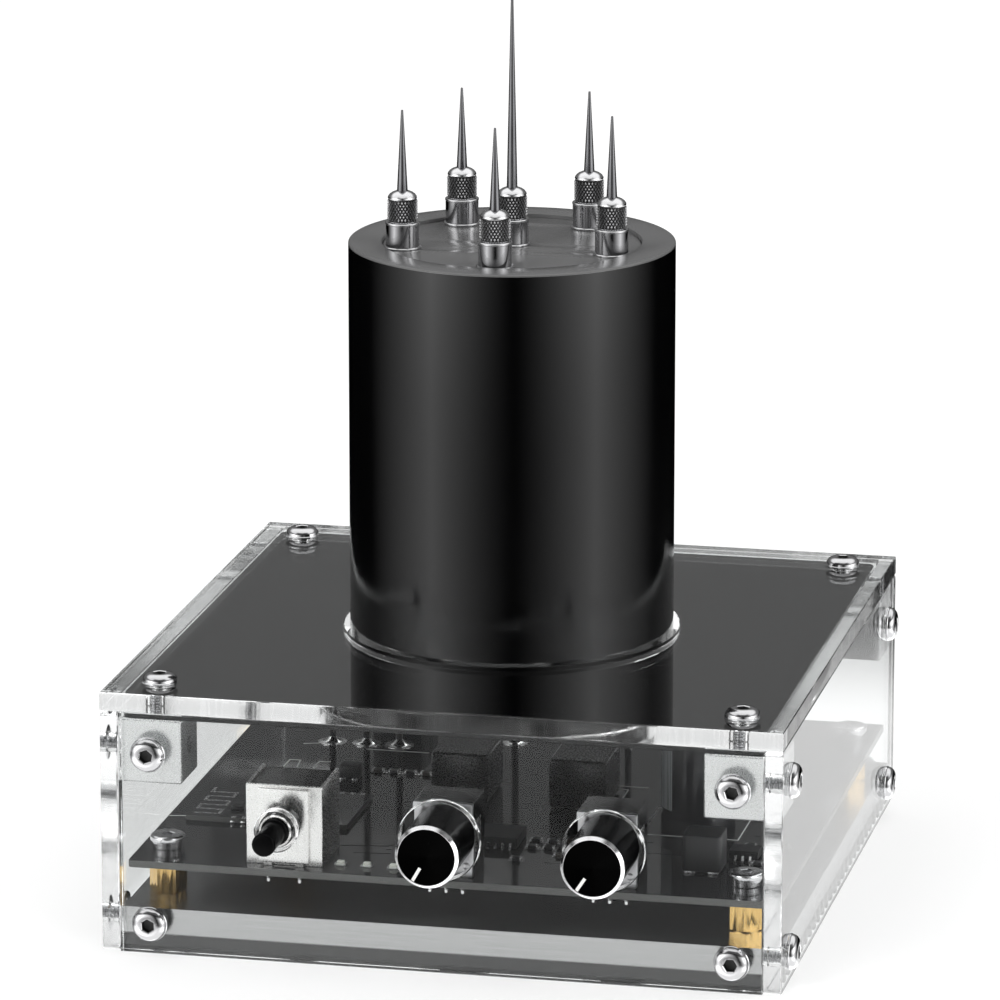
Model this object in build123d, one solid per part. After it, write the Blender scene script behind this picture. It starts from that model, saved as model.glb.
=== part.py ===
from build123d import *

# Desktop resonant transformer: a clear acrylic case on a finned aluminium base, with a
# glossy black coil tower and six needle electrodes.
#
# Millimetres, +Z up. The origin is the centre of the underside, the controls face -Y,
# and +X is to the right of someone who stands in front of them.

import os
from math import cos, radians, sin

os.makedirs("parts", exist_ok=True)

# ---------------------------------------------------------------- driving sizes: the case
case_width = 116.0
case_depth = 116.0
case_height = 45.2
wall_thickness = 3.0
top_thickness = 3.2
deck_thickness = 1.6
side_corner_radius = 1.2
sheet_gap = 0.15          # between the front and back sheets and the side sheets
deck_gap = 0.3            # between the deck and the four walls
deck_corner = 1.4         # the deck's trimmed corners
tower_hole_gap = 1.0      # between the tower and its hole in the top sheet

# ------------------------------------------------------------ driving sizes: the fasteners
screw_radius = 1.5
screw_head_radius = 3.05
screw_head_height = 1.65
screw_head_rim = 0.3
screw_head_flat_radius = 1.4
hex_across_flats = 2.0
hex_depth = 1.0
screw_clearance = 0.2     # radial, in a hole that a screw only passes through
thread_clearance = 0.05   # radial, in a tapped hole
screw_bite = 3.2          # depth of a screw in its block or base
block_size = 10.6
block_height = 11.1
block_edge = 0.45

# ----------------------------------------------------------------- driving sizes: the base
base_height = 7.4
fin_height = 3.0
fin_thickness = 1.5
fin_count = 27

# ---------------------------------------------------------------- driving sizes: the board
board_side_gap = 0.6
board_front_gap = 1.6
board_thickness = 1.2
standoff_height = 6.4
standoff_across_flats = 5.5
standoff_stud = 3.0
board_hole_side_inset = 4.6
board_hole_front_inset = 9.1
board_screw_head_radius = 3.0
board_screw_head_height = 1.0
board_screw_length = 5.0
lock_washer_radius = 2.65
lock_washer_thickness = 1.3

# ------------------------------------------------------------- driving sizes: the controls
control_height = 22.8     # of the three control axes above the underside
control_pitch = 27.9
pot_width = 10.2
pot_depth = 8.4
pot_rise = 5.1            # from the shaft's axis to the top of the pot
pot_offset = -0.5         # the pot's body stands a little to the left of its shaft
pot_face_thickness = 1.0
pot_setback = 3.8         # from the front sheet's inner face to the pot's face
pot_bushing_radius = 3.9
pot_bushing_length = 1.5
pot_pin_pitch = 2.8
shaft_radius = 3.0
shaft_end_gap = 0.3       # between the shaft's end and the bottom of the knob's bore
running_clearance = 0.05
rotor_radius = 4.2
rotor_thickness = 1.5
rotor_gap = 0.3
knob_radius = 5.4
knob_hole_radius = 6.85
knob_length = 13.6
knob_reach = 8.8          # in front of the front sheet
knob_rim = 0.5
knob_bore_depth = 9.0
knob_grip = 0.02          # between the knob's bore and the shaft that it is pushed on
pointer_width = 0.55
pointer_length = 2.6
pointer_depth = 0.3
pointer_clear = 0.15      # from the pointer's outer end to the bright rim
left_pointer_angle = 29.5     # from straight down, towards the left
right_pointer_angle = 33.0

switch_width = 13.2
switch_depth = 12.0
switch_height = 14.0
switch_frame_thickness = 0.5
switch_setback = 3.8      # from the front sheet's inner face to the faceplate
faceplate_width = 8.7
faceplate_thickness = 0.7
faceplate_foot_width = 1.5
faceplate_foot_pitch = 5.4
switch_bushing_radius = 3.0
plunger_radius = 2.3
plunger_tip_radius = 2.0
plunger_tip_length = 7.4
plunger_reach = 8.2       # in front of the front sheet
plunger_travel = 2.0
plunger_collar_radius = 2.8
plunger_collar_length = 1.2
switch_chamber_clearance = 0.3
spring_radius = 1.9
switch_hole_radius = 3.5

# ------------------------------------------------------- driving sizes: parts on the board
module_width = 28.5
module_depth = 19.0
module_thickness = 0.9
module_side_gap = 3.6     # from the board's left edge
module_front_gap = 24.4   # from the board's front edge
module_chip_size = 8.0
module_chip_height = 1.0
film_cap_width = 10.0
film_cap_depth = 13.0
film_cap_height = 9.0
film_cap_pitch = 20.8
film_cap_left_x = -7.0
film_cap_front_y = -9.6
reservoir_radius = 6.4
reservoir_top_gap = 3.4   # below the deck
reservoir_side = 18.8     # from the board's right edge to the capacitor's axis
reservoir_front = 40.9    # from the board's front edge to the capacitor's axis
inductor_size = 6.6
inductor_side = 13.0      # from the board's right edge to the inductor's middle
inductor_front = 12.8     # from the board's front edge to the inductor
amplifier_width = 10.0
amplifier_depth = 7.6
amplifier_height = 1.9
amplifier_x = 3.4
amplifier_front = 20.0    # from the board's front edge to the chip's body
driver_width = 5.0
driver_depth = 3.9
driver_height = 1.6
driver_side = 7.5         # from the board's right edge to the chip's middle
driver_front = 22.0
chip_lead_pitch = 1.27
chip_lead_width = 0.45
chip_lead_reach = 1.05
transistor_width = 3.6
transistor_depth = 3.0
transistor_height = 2.5
transistor_x = -29.0
transistor_front_y = 0.4
led_width = 2.0
led_depth = 1.25
led_height = 0.8
led_pitch = 4.55
led_left_x = -18.7
led_front = 5.1           # from the board's front edge to the middle of the row
chip_part_length = 2.0
chip_part_width = 1.25
chip_part_height = 0.7
chip_part_pitch = 2.9
chip_part_setback = 7.4   # from the driver chip's front to the chip parts behind it
chip_part_lead = 2.2      # from the chip part before the driver chip to the chip's front
link_radius = 0.6         # the stiff leads between the board and the deck
link_pad_radius = 2.6
link_pad_thickness = 0.25
solder_radius = 0.8
solder_height = 1.1
pin_end_radius = 0.35      # a pin's cut end, which stands out of its solder joint
pin_end_length = 1.6      # below the board

# ----------------------------------------------------------- driving sizes: the power inlet
inlet_x = -30.0
inlet_width = 9.0
inlet_depth = 13.4
inlet_height = 11.0
inlet_barrel_radius = 3.2
inlet_barrel_depth = 9.6
inlet_pin_radius = 1.05
inlet_pin_length = 8.8
inlet_hole_radius = 4.2
inlet_nose_radius = 4.0
inlet_nose_length = 2.6

# ---------------------------------------------------------------- driving sizes: the tower
tower_radius = 28.0
tower_height = 70.8       # above the deck
tower_wall = 3.0
tower_lip_radius = 22.2   # the round recess in the tower's top
tower_lip_depth = 0.65
tower_lip_height = 6.0
tower_ledge = 0.85
tower_edge = 0.35
electrode_plate_thickness = 2.4
electrode_plate_gap = 0.1
coil_base_thickness = 3.0
coil_base_gap = 0.3
coil_screw_circle_radius = 19.0
coil_screw_count = 3
former_radius = 15.0
former_wall = 1.5
former_top_gap = 4.2      # below the bonding plate
secondary_thickness = 0.6
secondary_end = 3.0       # bare former at each end of the winding
primary_former_radius = 20.5
primary_former_wall = 1.2
primary_former_height = 12.0
primary_thickness = 2.2
primary_end = 2.0
bonding_plate_radius = 21.2
bonding_plate_thickness = 0.5
former_end_thickness = 3.0

# ----------------------------------------------------------- driving sizes: the electrodes
needle_count = 5          # round the centre one
needle_circle_radius = 18.9
needle_turn = 3.5         # the ring of needles stands this many degrees round from the front
post_radius = 2.93
post_height = 4.55
post_foot_radius = 3.2
post_foot_height = 0.45
post_stud_radius = 1.0
post_stud_length = 5.4
post_bore_radius = 1.96
post_bore_depth = 3.6
nut_across_flats = 4.0
nut_thickness = 1.6
cap_radius = 2.65
cap_height = 4.1
cap_taper_height = 1.25
cap_top_radius = 1.55
cap_spigot_radius = 1.9
cap_spigot_length = 3.3
cap_seat_gap = 0.02       # between a cap and the post that it is screwed on
needle_radius = 0.92
needle_tip_radius = 0.2
needle_shank_end = 0.4    # the shank starts this far above the spigot's end
needle_reach = 14.0
centre_needle_reach = 34.0

# ------------------------------------------------------------------------- derived places
half_width = case_width / 2
half_depth = case_depth / 2
inner_x = half_width - wall_thickness
inner_y = half_depth - wall_thickness
top_underside = case_height - top_thickness
deck_underside = top_underside - deck_thickness
block_x = inner_x - block_size / 2
block_y = inner_y - block_size / 2
block_z = deck_underside - block_height / 2
plate_underside = fin_height
base_screw_z = (base_height + fin_height) / 2
board_underside = base_height + standoff_height
board_top = board_underside + board_thickness
board_x = inner_x - board_side_gap
board_y = inner_y - board_front_gap
board_hole_x = board_x - board_hole_side_inset
board_hole_y = board_y - board_hole_front_inset
pot_face_y = -inner_y + pot_setback
switch_face_y = -inner_y + switch_setback
switch_x = -control_pitch
tower_top = top_underside + tower_height
plate_top = tower_top - tower_lip_depth
plate_bottom = plate_top - electrode_plate_thickness
bonding_bottom = plate_bottom - bonding_plate_thickness
coil_base_top = top_underside + coil_base_thickness
former_top = bonding_bottom - former_top_gap
needle_places = [(0.0, 0.0)] + [
    (
        needle_circle_radius * cos(radians(-90 + needle_turn + 360 * turn / needle_count)),
        needle_circle_radius * sin(radians(-90 + needle_turn + 360 * turn / needle_count)),
    )
    for turn in range(needle_count)
]
corners = [(-1, -1), (1, -1), (1, 1), (-1, 1)]
post_top = plate_top + post_height
cap_bottom = post_top + cap_seat_gap
cap_top = cap_bottom + cap_height + cap_taper_height


# --------------------------------------------------------------------------- small helpers
def block(x_range, y_range, z_range):
    """A box from its low and high X, Y and Z."""
    size = [high - low for low, high in (x_range, y_range, z_range)]
    centre = [(high + low) / 2 for low, high in (x_range, y_range, z_range)]
    return Pos(*centre) * Box(*size)


def upright(radius, low, high, x=0.0, y=0.0):
    """A cylinder along Z between two heights."""
    return Pos(x, y, (low + high) / 2) * Cylinder(radius, high - low)


def along_x(radius, low, high, y=0.0, z=0.0):
    """A cylinder along X."""
    return Pos((low + high) / 2, y, z) * Rot(0, 90, 0) * Cylinder(radius, high - low)


def along_y(radius, low, high, x=0.0, z=0.0):
    """A cylinder along Y."""
    return Pos(x, (low + high) / 2, z) * Rot(90, 0, 0) * Cylinder(radius, high - low)


def tube(outer, inner, low, high):
    """A ring about the tower's axis."""
    return upright(outer, low, high) - upright(inner, low, high)


def turned(points):
    """A solid turned about Z from a closed outline of (radius, height) points."""
    outline = Polyline(*[(radius, 0, height) for radius, height in points], close=True)
    return revolve(make_face(outline), Axis.Z)


def hex_prism(across_flats, low, high):
    """A hexagonal bar along Z between two heights."""
    outline = RegularPolygon(across_flats / 2, 6, major_radius=False)
    return Pos(0, 0, low) * extrude(outline, high - low)


def save(node, *solids):
    """Write one node, as one solid or as a group of separate ones."""
    shape = solids[0] if len(solids) == 1 else Compound(children=list(solids))
    shape.label = node
    export_step(shape, f"parts/{node}.step")


# ------------------------------------------------------------------------------ the screws
def button_screw(length):
    """A button-head screw that points down, with the underside of its head at the origin."""
    head = make_face(
        [
            Line((0, 0, 0), (screw_head_radius, 0, 0)),
            Line((screw_head_radius, 0, 0), (screw_head_radius, 0, screw_head_rim)),
            ThreePointArc(
                (screw_head_radius, 0, screw_head_rim),
                (
                    (screw_head_radius + screw_head_flat_radius) / 2 + screw_head_rim,
                    0,
                    (screw_head_height + screw_head_rim) / 2 + screw_head_rim / 2,
                ),
                (screw_head_flat_radius, 0, screw_head_height),
            ),
            Line((screw_head_flat_radius, 0, screw_head_height), (0, 0, screw_head_height)),
            Line((0, 0, screw_head_height), (0, 0, 0)),
        ]
    )
    screw = revolve(head, Axis.Z) + upright(screw_radius, -length, 0)
    return screw - hex_prism(hex_across_flats, screw_head_height - hex_depth, screw_head_height)


def screws():
    """The case's twenty screws: four down through the top and four in each wall."""
    wall_screw = button_screw(wall_thickness + screw_bite)
    top_screw = button_screw(top_thickness + deck_thickness + screw_bite)
    save("top_screws", *[Pos(sx * block_x, sy * block_y, case_height) * top_screw for sx, sy in corners])
    in_walls = []
    for sx, sy in corners:
        for z in (block_z, base_screw_z):
            in_walls.append(Pos(sx * block_x, sy * half_depth, z) * Rot(-90 * sy, 0, 0) * wall_screw)
            in_walls.append(Pos(sx * half_width, sy * block_y, z) * Rot(0, 90 * sx, 0) * wall_screw)
    save("wall_screws", *in_walls)


# ------------------------------------------------------------------------ the clear sheets
def top_sheet():
    """The clear top, with the hole that the tower stands in."""
    sheet = block((-half_width, half_width), (-half_depth, half_depth), (top_underside, case_height))
    sheet -= upright(tower_radius + tower_hole_gap, top_underside, case_height)
    for sx, sy in corners:
        sheet -= upright(
            screw_radius + screw_clearance, top_underside, case_height, sx * block_x, sy * block_y
        )
    save("top_sheet", sheet)


def end_sheet(side):
    """A clear sheet between the side sheets, at the front (-1) or the back (1)."""
    near, far = sorted((side * inner_y, side * half_depth))
    reach = inner_x - sheet_gap
    sheet = block((-reach, reach), (near, far), (0, top_underside))
    for sx in (-1, 1):
        for z in (block_z, base_screw_z):
            sheet -= along_y(screw_radius + screw_clearance, near, far, sx * block_x, z)
    return sheet, near, far


def front_panel():
    """The front sheet, with holes for the switch and the two knobs."""
    sheet, near, far = end_sheet(-1)
    sheet -= along_y(switch_hole_radius, near, far, switch_x, control_height)
    for x in (0, control_pitch):
        sheet -= along_y(knob_hole_radius, near, far, x, control_height)
    save("front_panel", sheet)


def back_panel():
    """The back sheet, with the power inlet's hole."""
    sheet, near, far = end_sheet(1)
    sheet -= along_y(inlet_hole_radius, near, far, inlet_x, board_top + inlet_height / 2)
    save("back_panel", sheet)


def side_panel(node, side):
    """A clear side sheet over the whole depth, with rounded corners."""
    near, far = sorted((side * inner_x, side * half_width))
    sheet = block((near, far), (-half_depth, half_depth), (0, top_underside))
    sheet = fillet(sheet.edges().filter_by(Axis.X), side_corner_radius)
    for sy in (-1, 1):
        for z in (block_z, base_screw_z):
            sheet -= along_x(screw_radius + screw_clearance, near, far, sy * block_y, z)
    save(node, sheet)


# ------------------------------------------------------------- the deck, blocks and base
def deck():
    """The black deck under the clear top, which the tower stands on."""
    reach_x = inner_x - deck_gap
    reach_y = inner_y - deck_gap
    sheet = block((-reach_x, reach_x), (-reach_y, reach_y), (deck_underside, top_underside))
    sheet = chamfer(sheet.edges().filter_by(Axis.Z), deck_corner)
    for sx, sy in corners:
        sheet -= upright(
            screw_radius + screw_clearance, deck_underside, top_underside, sx * block_x, sy * block_y
        )
    sheet -= upright(former_radius - former_wall, deck_underside, top_underside)
    for x, y in coil_screw_places():
        sheet -= upright(screw_radius + thread_clearance, deck_underside, top_underside, x, y)
    save("deck", sheet)


def corner_blocks():
    """Four plated blocks with crossed threaded holes, which the top and walls are screwed to."""
    half = block_size / 2
    half_height = block_height / 2
    holder = fillet(Box(block_size, block_size, block_height).edges(), block_edge)
    hole = screw_radius + thread_clearance
    holder -= upright(hole, -half_height, half_height)
    holder -= along_x(hole, -half, half)
    holder -= along_y(hole, -half, half)
    save("corner_blocks", *[Pos(sx * block_x, sy * block_y, block_z) * holder for sx, sy in corners])


def heat_sink():
    """The aluminium base: a plate with fins below it, which run from side to side."""
    reach = inner_x - sheet_gap
    base = block((-reach, reach), (-inner_y, inner_y), (0, base_height))
    fin_pitch = (2 * inner_y - fin_thickness) / (fin_count - 1)
    for index in range(fin_count - 1):
        low = -inner_y + fin_thickness + index * fin_pitch
        base -= block((-reach, reach), (low, low + fin_pitch - fin_thickness), (0, fin_height))
    hole = screw_radius + thread_clearance
    for sx, sy in corners:
        base -= along_y(hole, *sorted((sy * inner_y, sy * (inner_y - screw_bite))),
                        sx * block_x, base_screw_z)
        base -= along_x(hole, *sorted((sx * inner_x, sx * (inner_x - screw_bite))),
                        sy * block_y, base_screw_z)
        base -= upright(hole, base_height - standoff_stud - thread_clearance, base_height,
                        sx * board_hole_x, sy * board_hole_y)
    save("heat_sink", base)


# ------------------------------------------------------------------- the board's fasteners
def board_fasteners():
    """Brass standoffs, and a screw and lock washer on each."""
    stud = upright(screw_radius, -standoff_stud, 0)
    bore = upright(screw_radius + thread_clearance, standoff_height - board_screw_length, standoff_height)
    standoff = hex_prism(standoff_across_flats, 0, standoff_height) + stud - bore
    washer = upright(lock_washer_radius, 0, lock_washer_thickness)
    washer -= upright(screw_radius + thread_clearance, 0, lock_washer_thickness)
    head_low = lock_washer_thickness
    head_high = head_low + board_screw_head_height
    screw = upright(board_screw_head_radius, head_low, head_high)
    screw = chamfer(screw.edges().group_by(Axis.Z)[-1], board_screw_head_height / 4)
    reach = board_screw_length - board_thickness - lock_washer_thickness
    screw += upright(screw_radius, -board_thickness - reach, head_low)
    screw -= hex_prism(hex_across_flats, head_high - hex_depth, head_high)
    places = [(sx * board_hole_x, sy * board_hole_y) for sx, sy in corners]
    save("standoffs", *[Pos(x, y, base_height) * standoff for x, y in places])
    save("board_washers", *[Pos(x, y, board_top) * washer for x, y in places])
    save("board_screws", *[Pos(x, y, board_top) * screw for x, y in places])


def circuit_board():
    """The circuit board, on its four standoffs."""
    board = block((-board_x, board_x), (-board_y, board_y), (board_underside, board_top))
    for sx, sy in corners:
        board -= upright(
            screw_radius + screw_clearance, board_underside, board_top,
            sx * board_hole_x, sy * board_hole_y
        )
    save("circuit_board", board)


# ---------------------------------------------------------------------- the push switch
def switch_frame():
    """The bent metal frame of the push switch: a front wall and two side walls."""
    low_x = switch_x - switch_width / 2
    high_x = switch_x + switch_width / 2
    front = switch_face_y + faceplate_thickness
    back = front + switch_depth
    top = board_top + switch_height
    frame = block((low_x, high_x), (front, back), (board_top, top))
    frame -= block(
        (low_x + switch_frame_thickness, high_x - switch_frame_thickness),
        (front + switch_frame_thickness, back),
        (board_top, top),
    )
    frame -= along_y(switch_bore(), front, front + switch_frame_thickness, switch_x, control_height)
    save("switch_frame", frame)


def switch_bore():
    """The radius of the round hole that the plunger slides in."""
    return plunger_radius + running_clearance


def switch_housing():
    """The moulded body inside the frame, with the plunger's round chamber."""
    front = switch_face_y + faceplate_thickness + switch_frame_thickness
    back = switch_face_y + faceplate_thickness + switch_depth
    reach = switch_width / 2 - switch_frame_thickness
    body = block((switch_x - reach, switch_x + reach), (front, back),
                 (board_top, board_top + switch_height - switch_frame_thickness))
    body -= along_y(plunger_collar_radius + switch_chamber_clearance, front,
                    back - switch_frame_thickness, switch_x, control_height)
    save("switch_housing", body)


def switch_faceplate():
    """The plate and round bushing in front of the frame, with two feet on the board."""
    low_y = switch_face_y
    high_y = switch_face_y + faceplate_thickness
    half = faceplate_width / 2
    foot_height = switch_frame_thickness
    plate = block((switch_x - half, switch_x + half), (low_y, high_y),
                  (board_top + foot_height, board_top + switch_height - switch_frame_thickness))
    for side in (-1, 1):
        foot_x = switch_x + side * faceplate_foot_pitch / 2
        plate += block((foot_x - faceplate_foot_width / 2, foot_x + faceplate_foot_width / 2),
                       (low_y, high_y), (board_top, board_top + foot_height))
    plate += along_y(switch_bushing_radius, -half_depth, high_y, switch_x, control_height)
    plate -= along_y(switch_bore(), -half_depth, high_y, switch_x, control_height)
    save("switch_faceplate", plate)


def switch_plunger():
    """The stepped black plunger, with the collar that keeps it in."""
    tip_y = -half_depth - plunger_reach
    step_y = tip_y + plunger_tip_length
    collar_front = switch_face_y + faceplate_thickness + switch_frame_thickness + running_clearance
    collar_back = collar_front + plunger_collar_length
    plunger = along_y(plunger_tip_radius, tip_y, step_y, switch_x, control_height)
    plunger = fillet(plunger.edges().group_by(Axis.Y)[0], plunger_tip_radius / 4)
    plunger += along_y(plunger_radius, step_y, collar_front, switch_x, control_height)
    plunger += along_y(plunger_collar_radius, collar_front, collar_back, switch_x, control_height)
    save("switch_plunger", plunger)
    spring_end = switch_face_y + faceplate_thickness + switch_depth - switch_frame_thickness
    spring = along_y(spring_radius, collar_back, spring_end, switch_x, control_height)
    spring -= along_y(spring_radius / 2, collar_back, spring_end, switch_x, control_height)
    save("switch_spring", spring)


# ------------------------------------------------------------------ the potentiometers
def potentiometer(shaft_x):
    """The metal face of a potentiometer with its bushing, and its body with the rotor's room."""
    middle = shaft_x + pot_offset
    low_x = middle - pot_width / 2
    high_x = middle + pot_width / 2
    back_of_face = pot_face_y + pot_face_thickness
    top = control_height + pot_rise
    face = block((low_x, high_x), (pot_face_y, back_of_face), (board_top, top))
    face += along_y(pot_bushing_radius, pot_face_y - pot_bushing_length, pot_face_y,
                    shaft_x, control_height)
    face -= along_y(shaft_radius + running_clearance, pot_face_y - pot_bushing_length,
                    back_of_face, shaft_x, control_height)
    body = block((low_x, high_x), (back_of_face, back_of_face + pot_depth), (board_top, top))
    body -= along_y(rotor_radius + rotor_gap, back_of_face,
                    back_of_face + rotor_thickness + 2 * rotor_gap, shaft_x, control_height)
    return face, body


def dial(side_name, shaft_x, pointer_angle):
    """What turns: the shaft with its rotor, and the knob with the groove of its pointer."""
    knob_face = -half_depth - knob_reach
    knob_back = knob_face + knob_length
    rotor_front = pot_face_y + pot_face_thickness + rotor_gap
    shaft_front = knob_back - knob_bore_depth + shaft_end_gap
    shaft = along_y(shaft_radius, shaft_front, rotor_front, shaft_x, control_height)
    shaft += along_y(rotor_radius, rotor_front, rotor_front + rotor_thickness, shaft_x, control_height)
    save(f"{side_name}_shaft", shaft)
    knob = along_y(knob_radius, knob_face, knob_back, shaft_x, control_height)
    knob = chamfer(knob.edges().group_by(Axis.Y)[0], knob_rim)
    knob -= along_y(shaft_radius + knob_grip, knob_back - knob_bore_depth, knob_back,
                    shaft_x, control_height)
    outer_end = knob_radius - knob_rim - pointer_clear
    slot = block((-pointer_width / 2, pointer_width / 2), (knob_face, knob_face + pointer_depth),
                 (-outer_end, pointer_length - outer_end))
    slot = Pos(shaft_x, 0, control_height) * Rot(0, pointer_angle, 0) * slot
    save(f"{side_name}_knob", knob - slot)


# ------------------------------------------------------------------ parts on the board
def gull_wing_chip(middle_x, front_y, width, depth, height):
    """A moulded chip with a row of leads along its front and its back."""
    body = block((middle_x - width / 2, middle_x + width / 2), (front_y, front_y + depth),
                 (board_top + height / 8, board_top + height))
    body = chamfer(body.edges().group_by(Axis.Z)[-1], height / 6)
    leads = int(width // chip_lead_pitch)
    parts = [body]
    for index in range(leads):
        x = middle_x + (index - (leads - 1) / 2) * chip_lead_pitch
        for low, high in ((front_y - chip_lead_reach, front_y),
                          (front_y + depth, front_y + depth + chip_lead_reach)):
            parts.append(block((x - chip_lead_width / 2, x + chip_lead_width / 2),
                               (low, high), (board_top, board_top + height / 2)))
    return parts


def radio_module():
    """The wireless receiver's small board with its chip; its aerial is at the left end."""
    low_x = -board_x + module_side_gap
    low_y = -board_y + module_front_gap
    top = board_top + module_thickness
    carrier = block((low_x, low_x + module_width), (low_y, low_y + module_depth), (board_top, top))
    chip_x = low_x + module_width / 2
    chip_y = low_y + module_depth / 2
    half = module_chip_size / 2
    save("radio_module", carrier, block((chip_x - half, chip_x + half),
                                        (chip_y - half, chip_y + half),
                                        (top, top + module_chip_height)))


def board_parts():
    """What stands on the board, apart from the controls and the inlet."""
    radio_module()
    box = block((-film_cap_width / 2, film_cap_width / 2),
                (film_cap_front_y, film_cap_front_y + film_cap_depth),
                (board_top, board_top + film_cap_height))
    box = chamfer(box.edges().group_by(Axis.Z)[-1], film_cap_height / 20)
    save("film_capacitors", Pos(film_cap_left_x, 0, 0) * box,
         Pos(film_cap_left_x + film_cap_pitch, 0, 0) * box)
    can = upright(reservoir_radius, board_top, deck_underside - reservoir_top_gap,
                  board_x - reservoir_side, reservoir_front - board_y)
    save("reservoir_capacitor", fillet(can.edges().group_by(Axis.Z)[-1], reservoir_radius / 8))
    inductor_x = board_x - inductor_side
    inductor = block((inductor_x - inductor_size / 2, inductor_x + inductor_size / 2),
                     (inductor_front - board_y, inductor_front - board_y + inductor_size),
                     (board_top, board_top + inductor_size))
    save("inductor", chamfer(inductor.edges().filter_by(Axis.Z), inductor_size / 12))
    amplifier = gull_wing_chip(amplifier_x, amplifier_front - board_y,
                               amplifier_width, amplifier_depth, amplifier_height)
    driver = gull_wing_chip(board_x - driver_side, driver_front - board_y,
                            driver_width, driver_depth, driver_height)
    transistor = block((transistor_x - transistor_width / 2, transistor_x + transistor_width / 2),
                       (transistor_front_y, transistor_front_y + transistor_depth),
                       (board_top, board_top + transistor_height))
    save("board_chips", *amplifier, *driver, transistor)
    save("indicator_leds", *[
        block((led_left_x + index * led_pitch - led_width / 2,
               led_left_x + index * led_pitch + led_width / 2),
              (led_front - board_y - led_depth / 2, led_front - board_y + led_depth / 2),
              (board_top, board_top + led_height))
        for index in range(3)
    ])


# Rows of chip resistors and capacitors: the first one's centre, and how many each row holds.
chip_row_places = [
    (-25.0, 6.0),
    (10.8, -28.6),
    (10.8, -32.4),
    (16.4, -36.0),
    (9.6, -39.6),
    (board_x - driver_side, driver_front + chip_part_setback - board_y),
    (board_x - driver_side + chip_part_pitch, driver_front - chip_part_lead - board_y),
]
chip_row_counts = [4, 3, 2, 1, 1, 2, 1]
# The stiff leads that join the board to the coil's deck.
link_places = [(-37.4, 22.7), (-31.2, 22.9), (-25.3, 23.2), (-5.6, 29.6), (14.3, 33.0)]


def chip_parts():
    """Chip resistors and capacitors, all of one size."""
    save("chip_parts", *[
        block((x + index * chip_part_pitch - chip_part_length / 2,
               x + index * chip_part_pitch + chip_part_length / 2),
              (y - chip_part_width / 2, y + chip_part_width / 2),
              (board_top, board_top + chip_part_height))
        for (x, y), count in zip(chip_row_places, chip_row_counts)
        for index in range(count)
    ])


def coil_leads():
    """Stiff leads from the board up to the deck, each in its solder pad."""
    save("coil_leads", *[
        upright(link_radius, board_top, deck_underside, x, y)
        + upright(link_pad_radius, board_top, board_top + link_pad_thickness, x, y)
        for x, y in link_places
    ])


def solder_joints():
    """The solder joints under the board, round the pins of the switch and the potentiometers."""
    switch_y = switch_face_y + faceplate_thickness / 2
    pot_y = pot_face_y + pot_face_thickness / 2
    places = [(switch_x + side * faceplate_foot_pitch / 2, switch_y) for side in (-1, 1)]
    places += [
        (shaft_x + index * pot_pin_pitch, pot_y)
        for shaft_x in (0, control_pitch)
        for index in (-1, 0, 1)
    ]
    joint = turned([
        (0, 0),
        (solder_radius, 0),
        (pin_end_radius, -solder_height),
        (pin_end_radius, -pin_end_length),
        (0, -pin_end_length),
    ])
    save("solder_joints", *[Pos(x, y, board_underside) * joint for x, y in places])


# -------------------------------------------------------------------------- the inlet
def power_inlet():
    """The barrel inlet: a moulded body whose round nose stands in the back sheet's hole."""
    axis_z = board_top + inlet_height / 2
    back = inner_y
    front = back - inlet_depth
    mouth = back + inlet_nose_length
    body = block((inlet_x - inlet_width / 2, inlet_x + inlet_width / 2), (front, back),
                 (board_top, board_top + inlet_height))
    body += along_y(inlet_nose_radius, back, mouth, inlet_x, axis_z)
    floor_y = mouth - inlet_barrel_depth
    body -= along_y(inlet_barrel_radius, floor_y, mouth, inlet_x, axis_z)
    save("power_inlet", body)
    save("inlet_pin", along_y(inlet_pin_radius, floor_y, floor_y + inlet_pin_length, inlet_x, axis_z))


# ---------------------------------------------------------------------------- the tower
def coil_screw_places():
    """The screws through the deck into the coil's base."""
    return [
        (
            coil_screw_circle_radius * cos(radians(360 * index / coil_screw_count)),
            coil_screw_circle_radius * sin(radians(360 * index / coil_screw_count)),
        )
        for index in range(coil_screw_count)
    ]


def tower_shell():
    """The glossy black tube, with a lip round the recess at its top."""
    lip_underside = tower_top - tower_lip_height
    ledge_top = plate_bottom
    shell = turned([
        (tower_radius - tower_wall, top_underside),
        (tower_radius, top_underside),
        (tower_radius, tower_top - tower_edge),
        (tower_radius - tower_edge, tower_top),
        (tower_lip_radius, tower_top),
        (tower_lip_radius, ledge_top),
        (tower_lip_radius - tower_ledge, ledge_top),
        (tower_lip_radius - tower_ledge, lip_underside),
        (tower_radius - tower_wall, lip_underside),
    ])
    save("tower_shell", shell)


def electrode_plate():
    """The black disc in the tower's recess, which carries the electrode posts."""
    plate = upright(tower_lip_radius - electrode_plate_gap, plate_bottom, plate_top)
    bonding = upright(bonding_plate_radius, bonding_bottom, plate_bottom)
    hole = post_stud_radius + thread_clearance
    for x, y in needle_places:
        plate -= upright(hole, plate_bottom, plate_top, x, y)
        bonding -= upright(hole, bonding_bottom, plate_bottom, x, y)
    save("electrode_plate", plate)
    save("bonding_plate", bonding)


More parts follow.
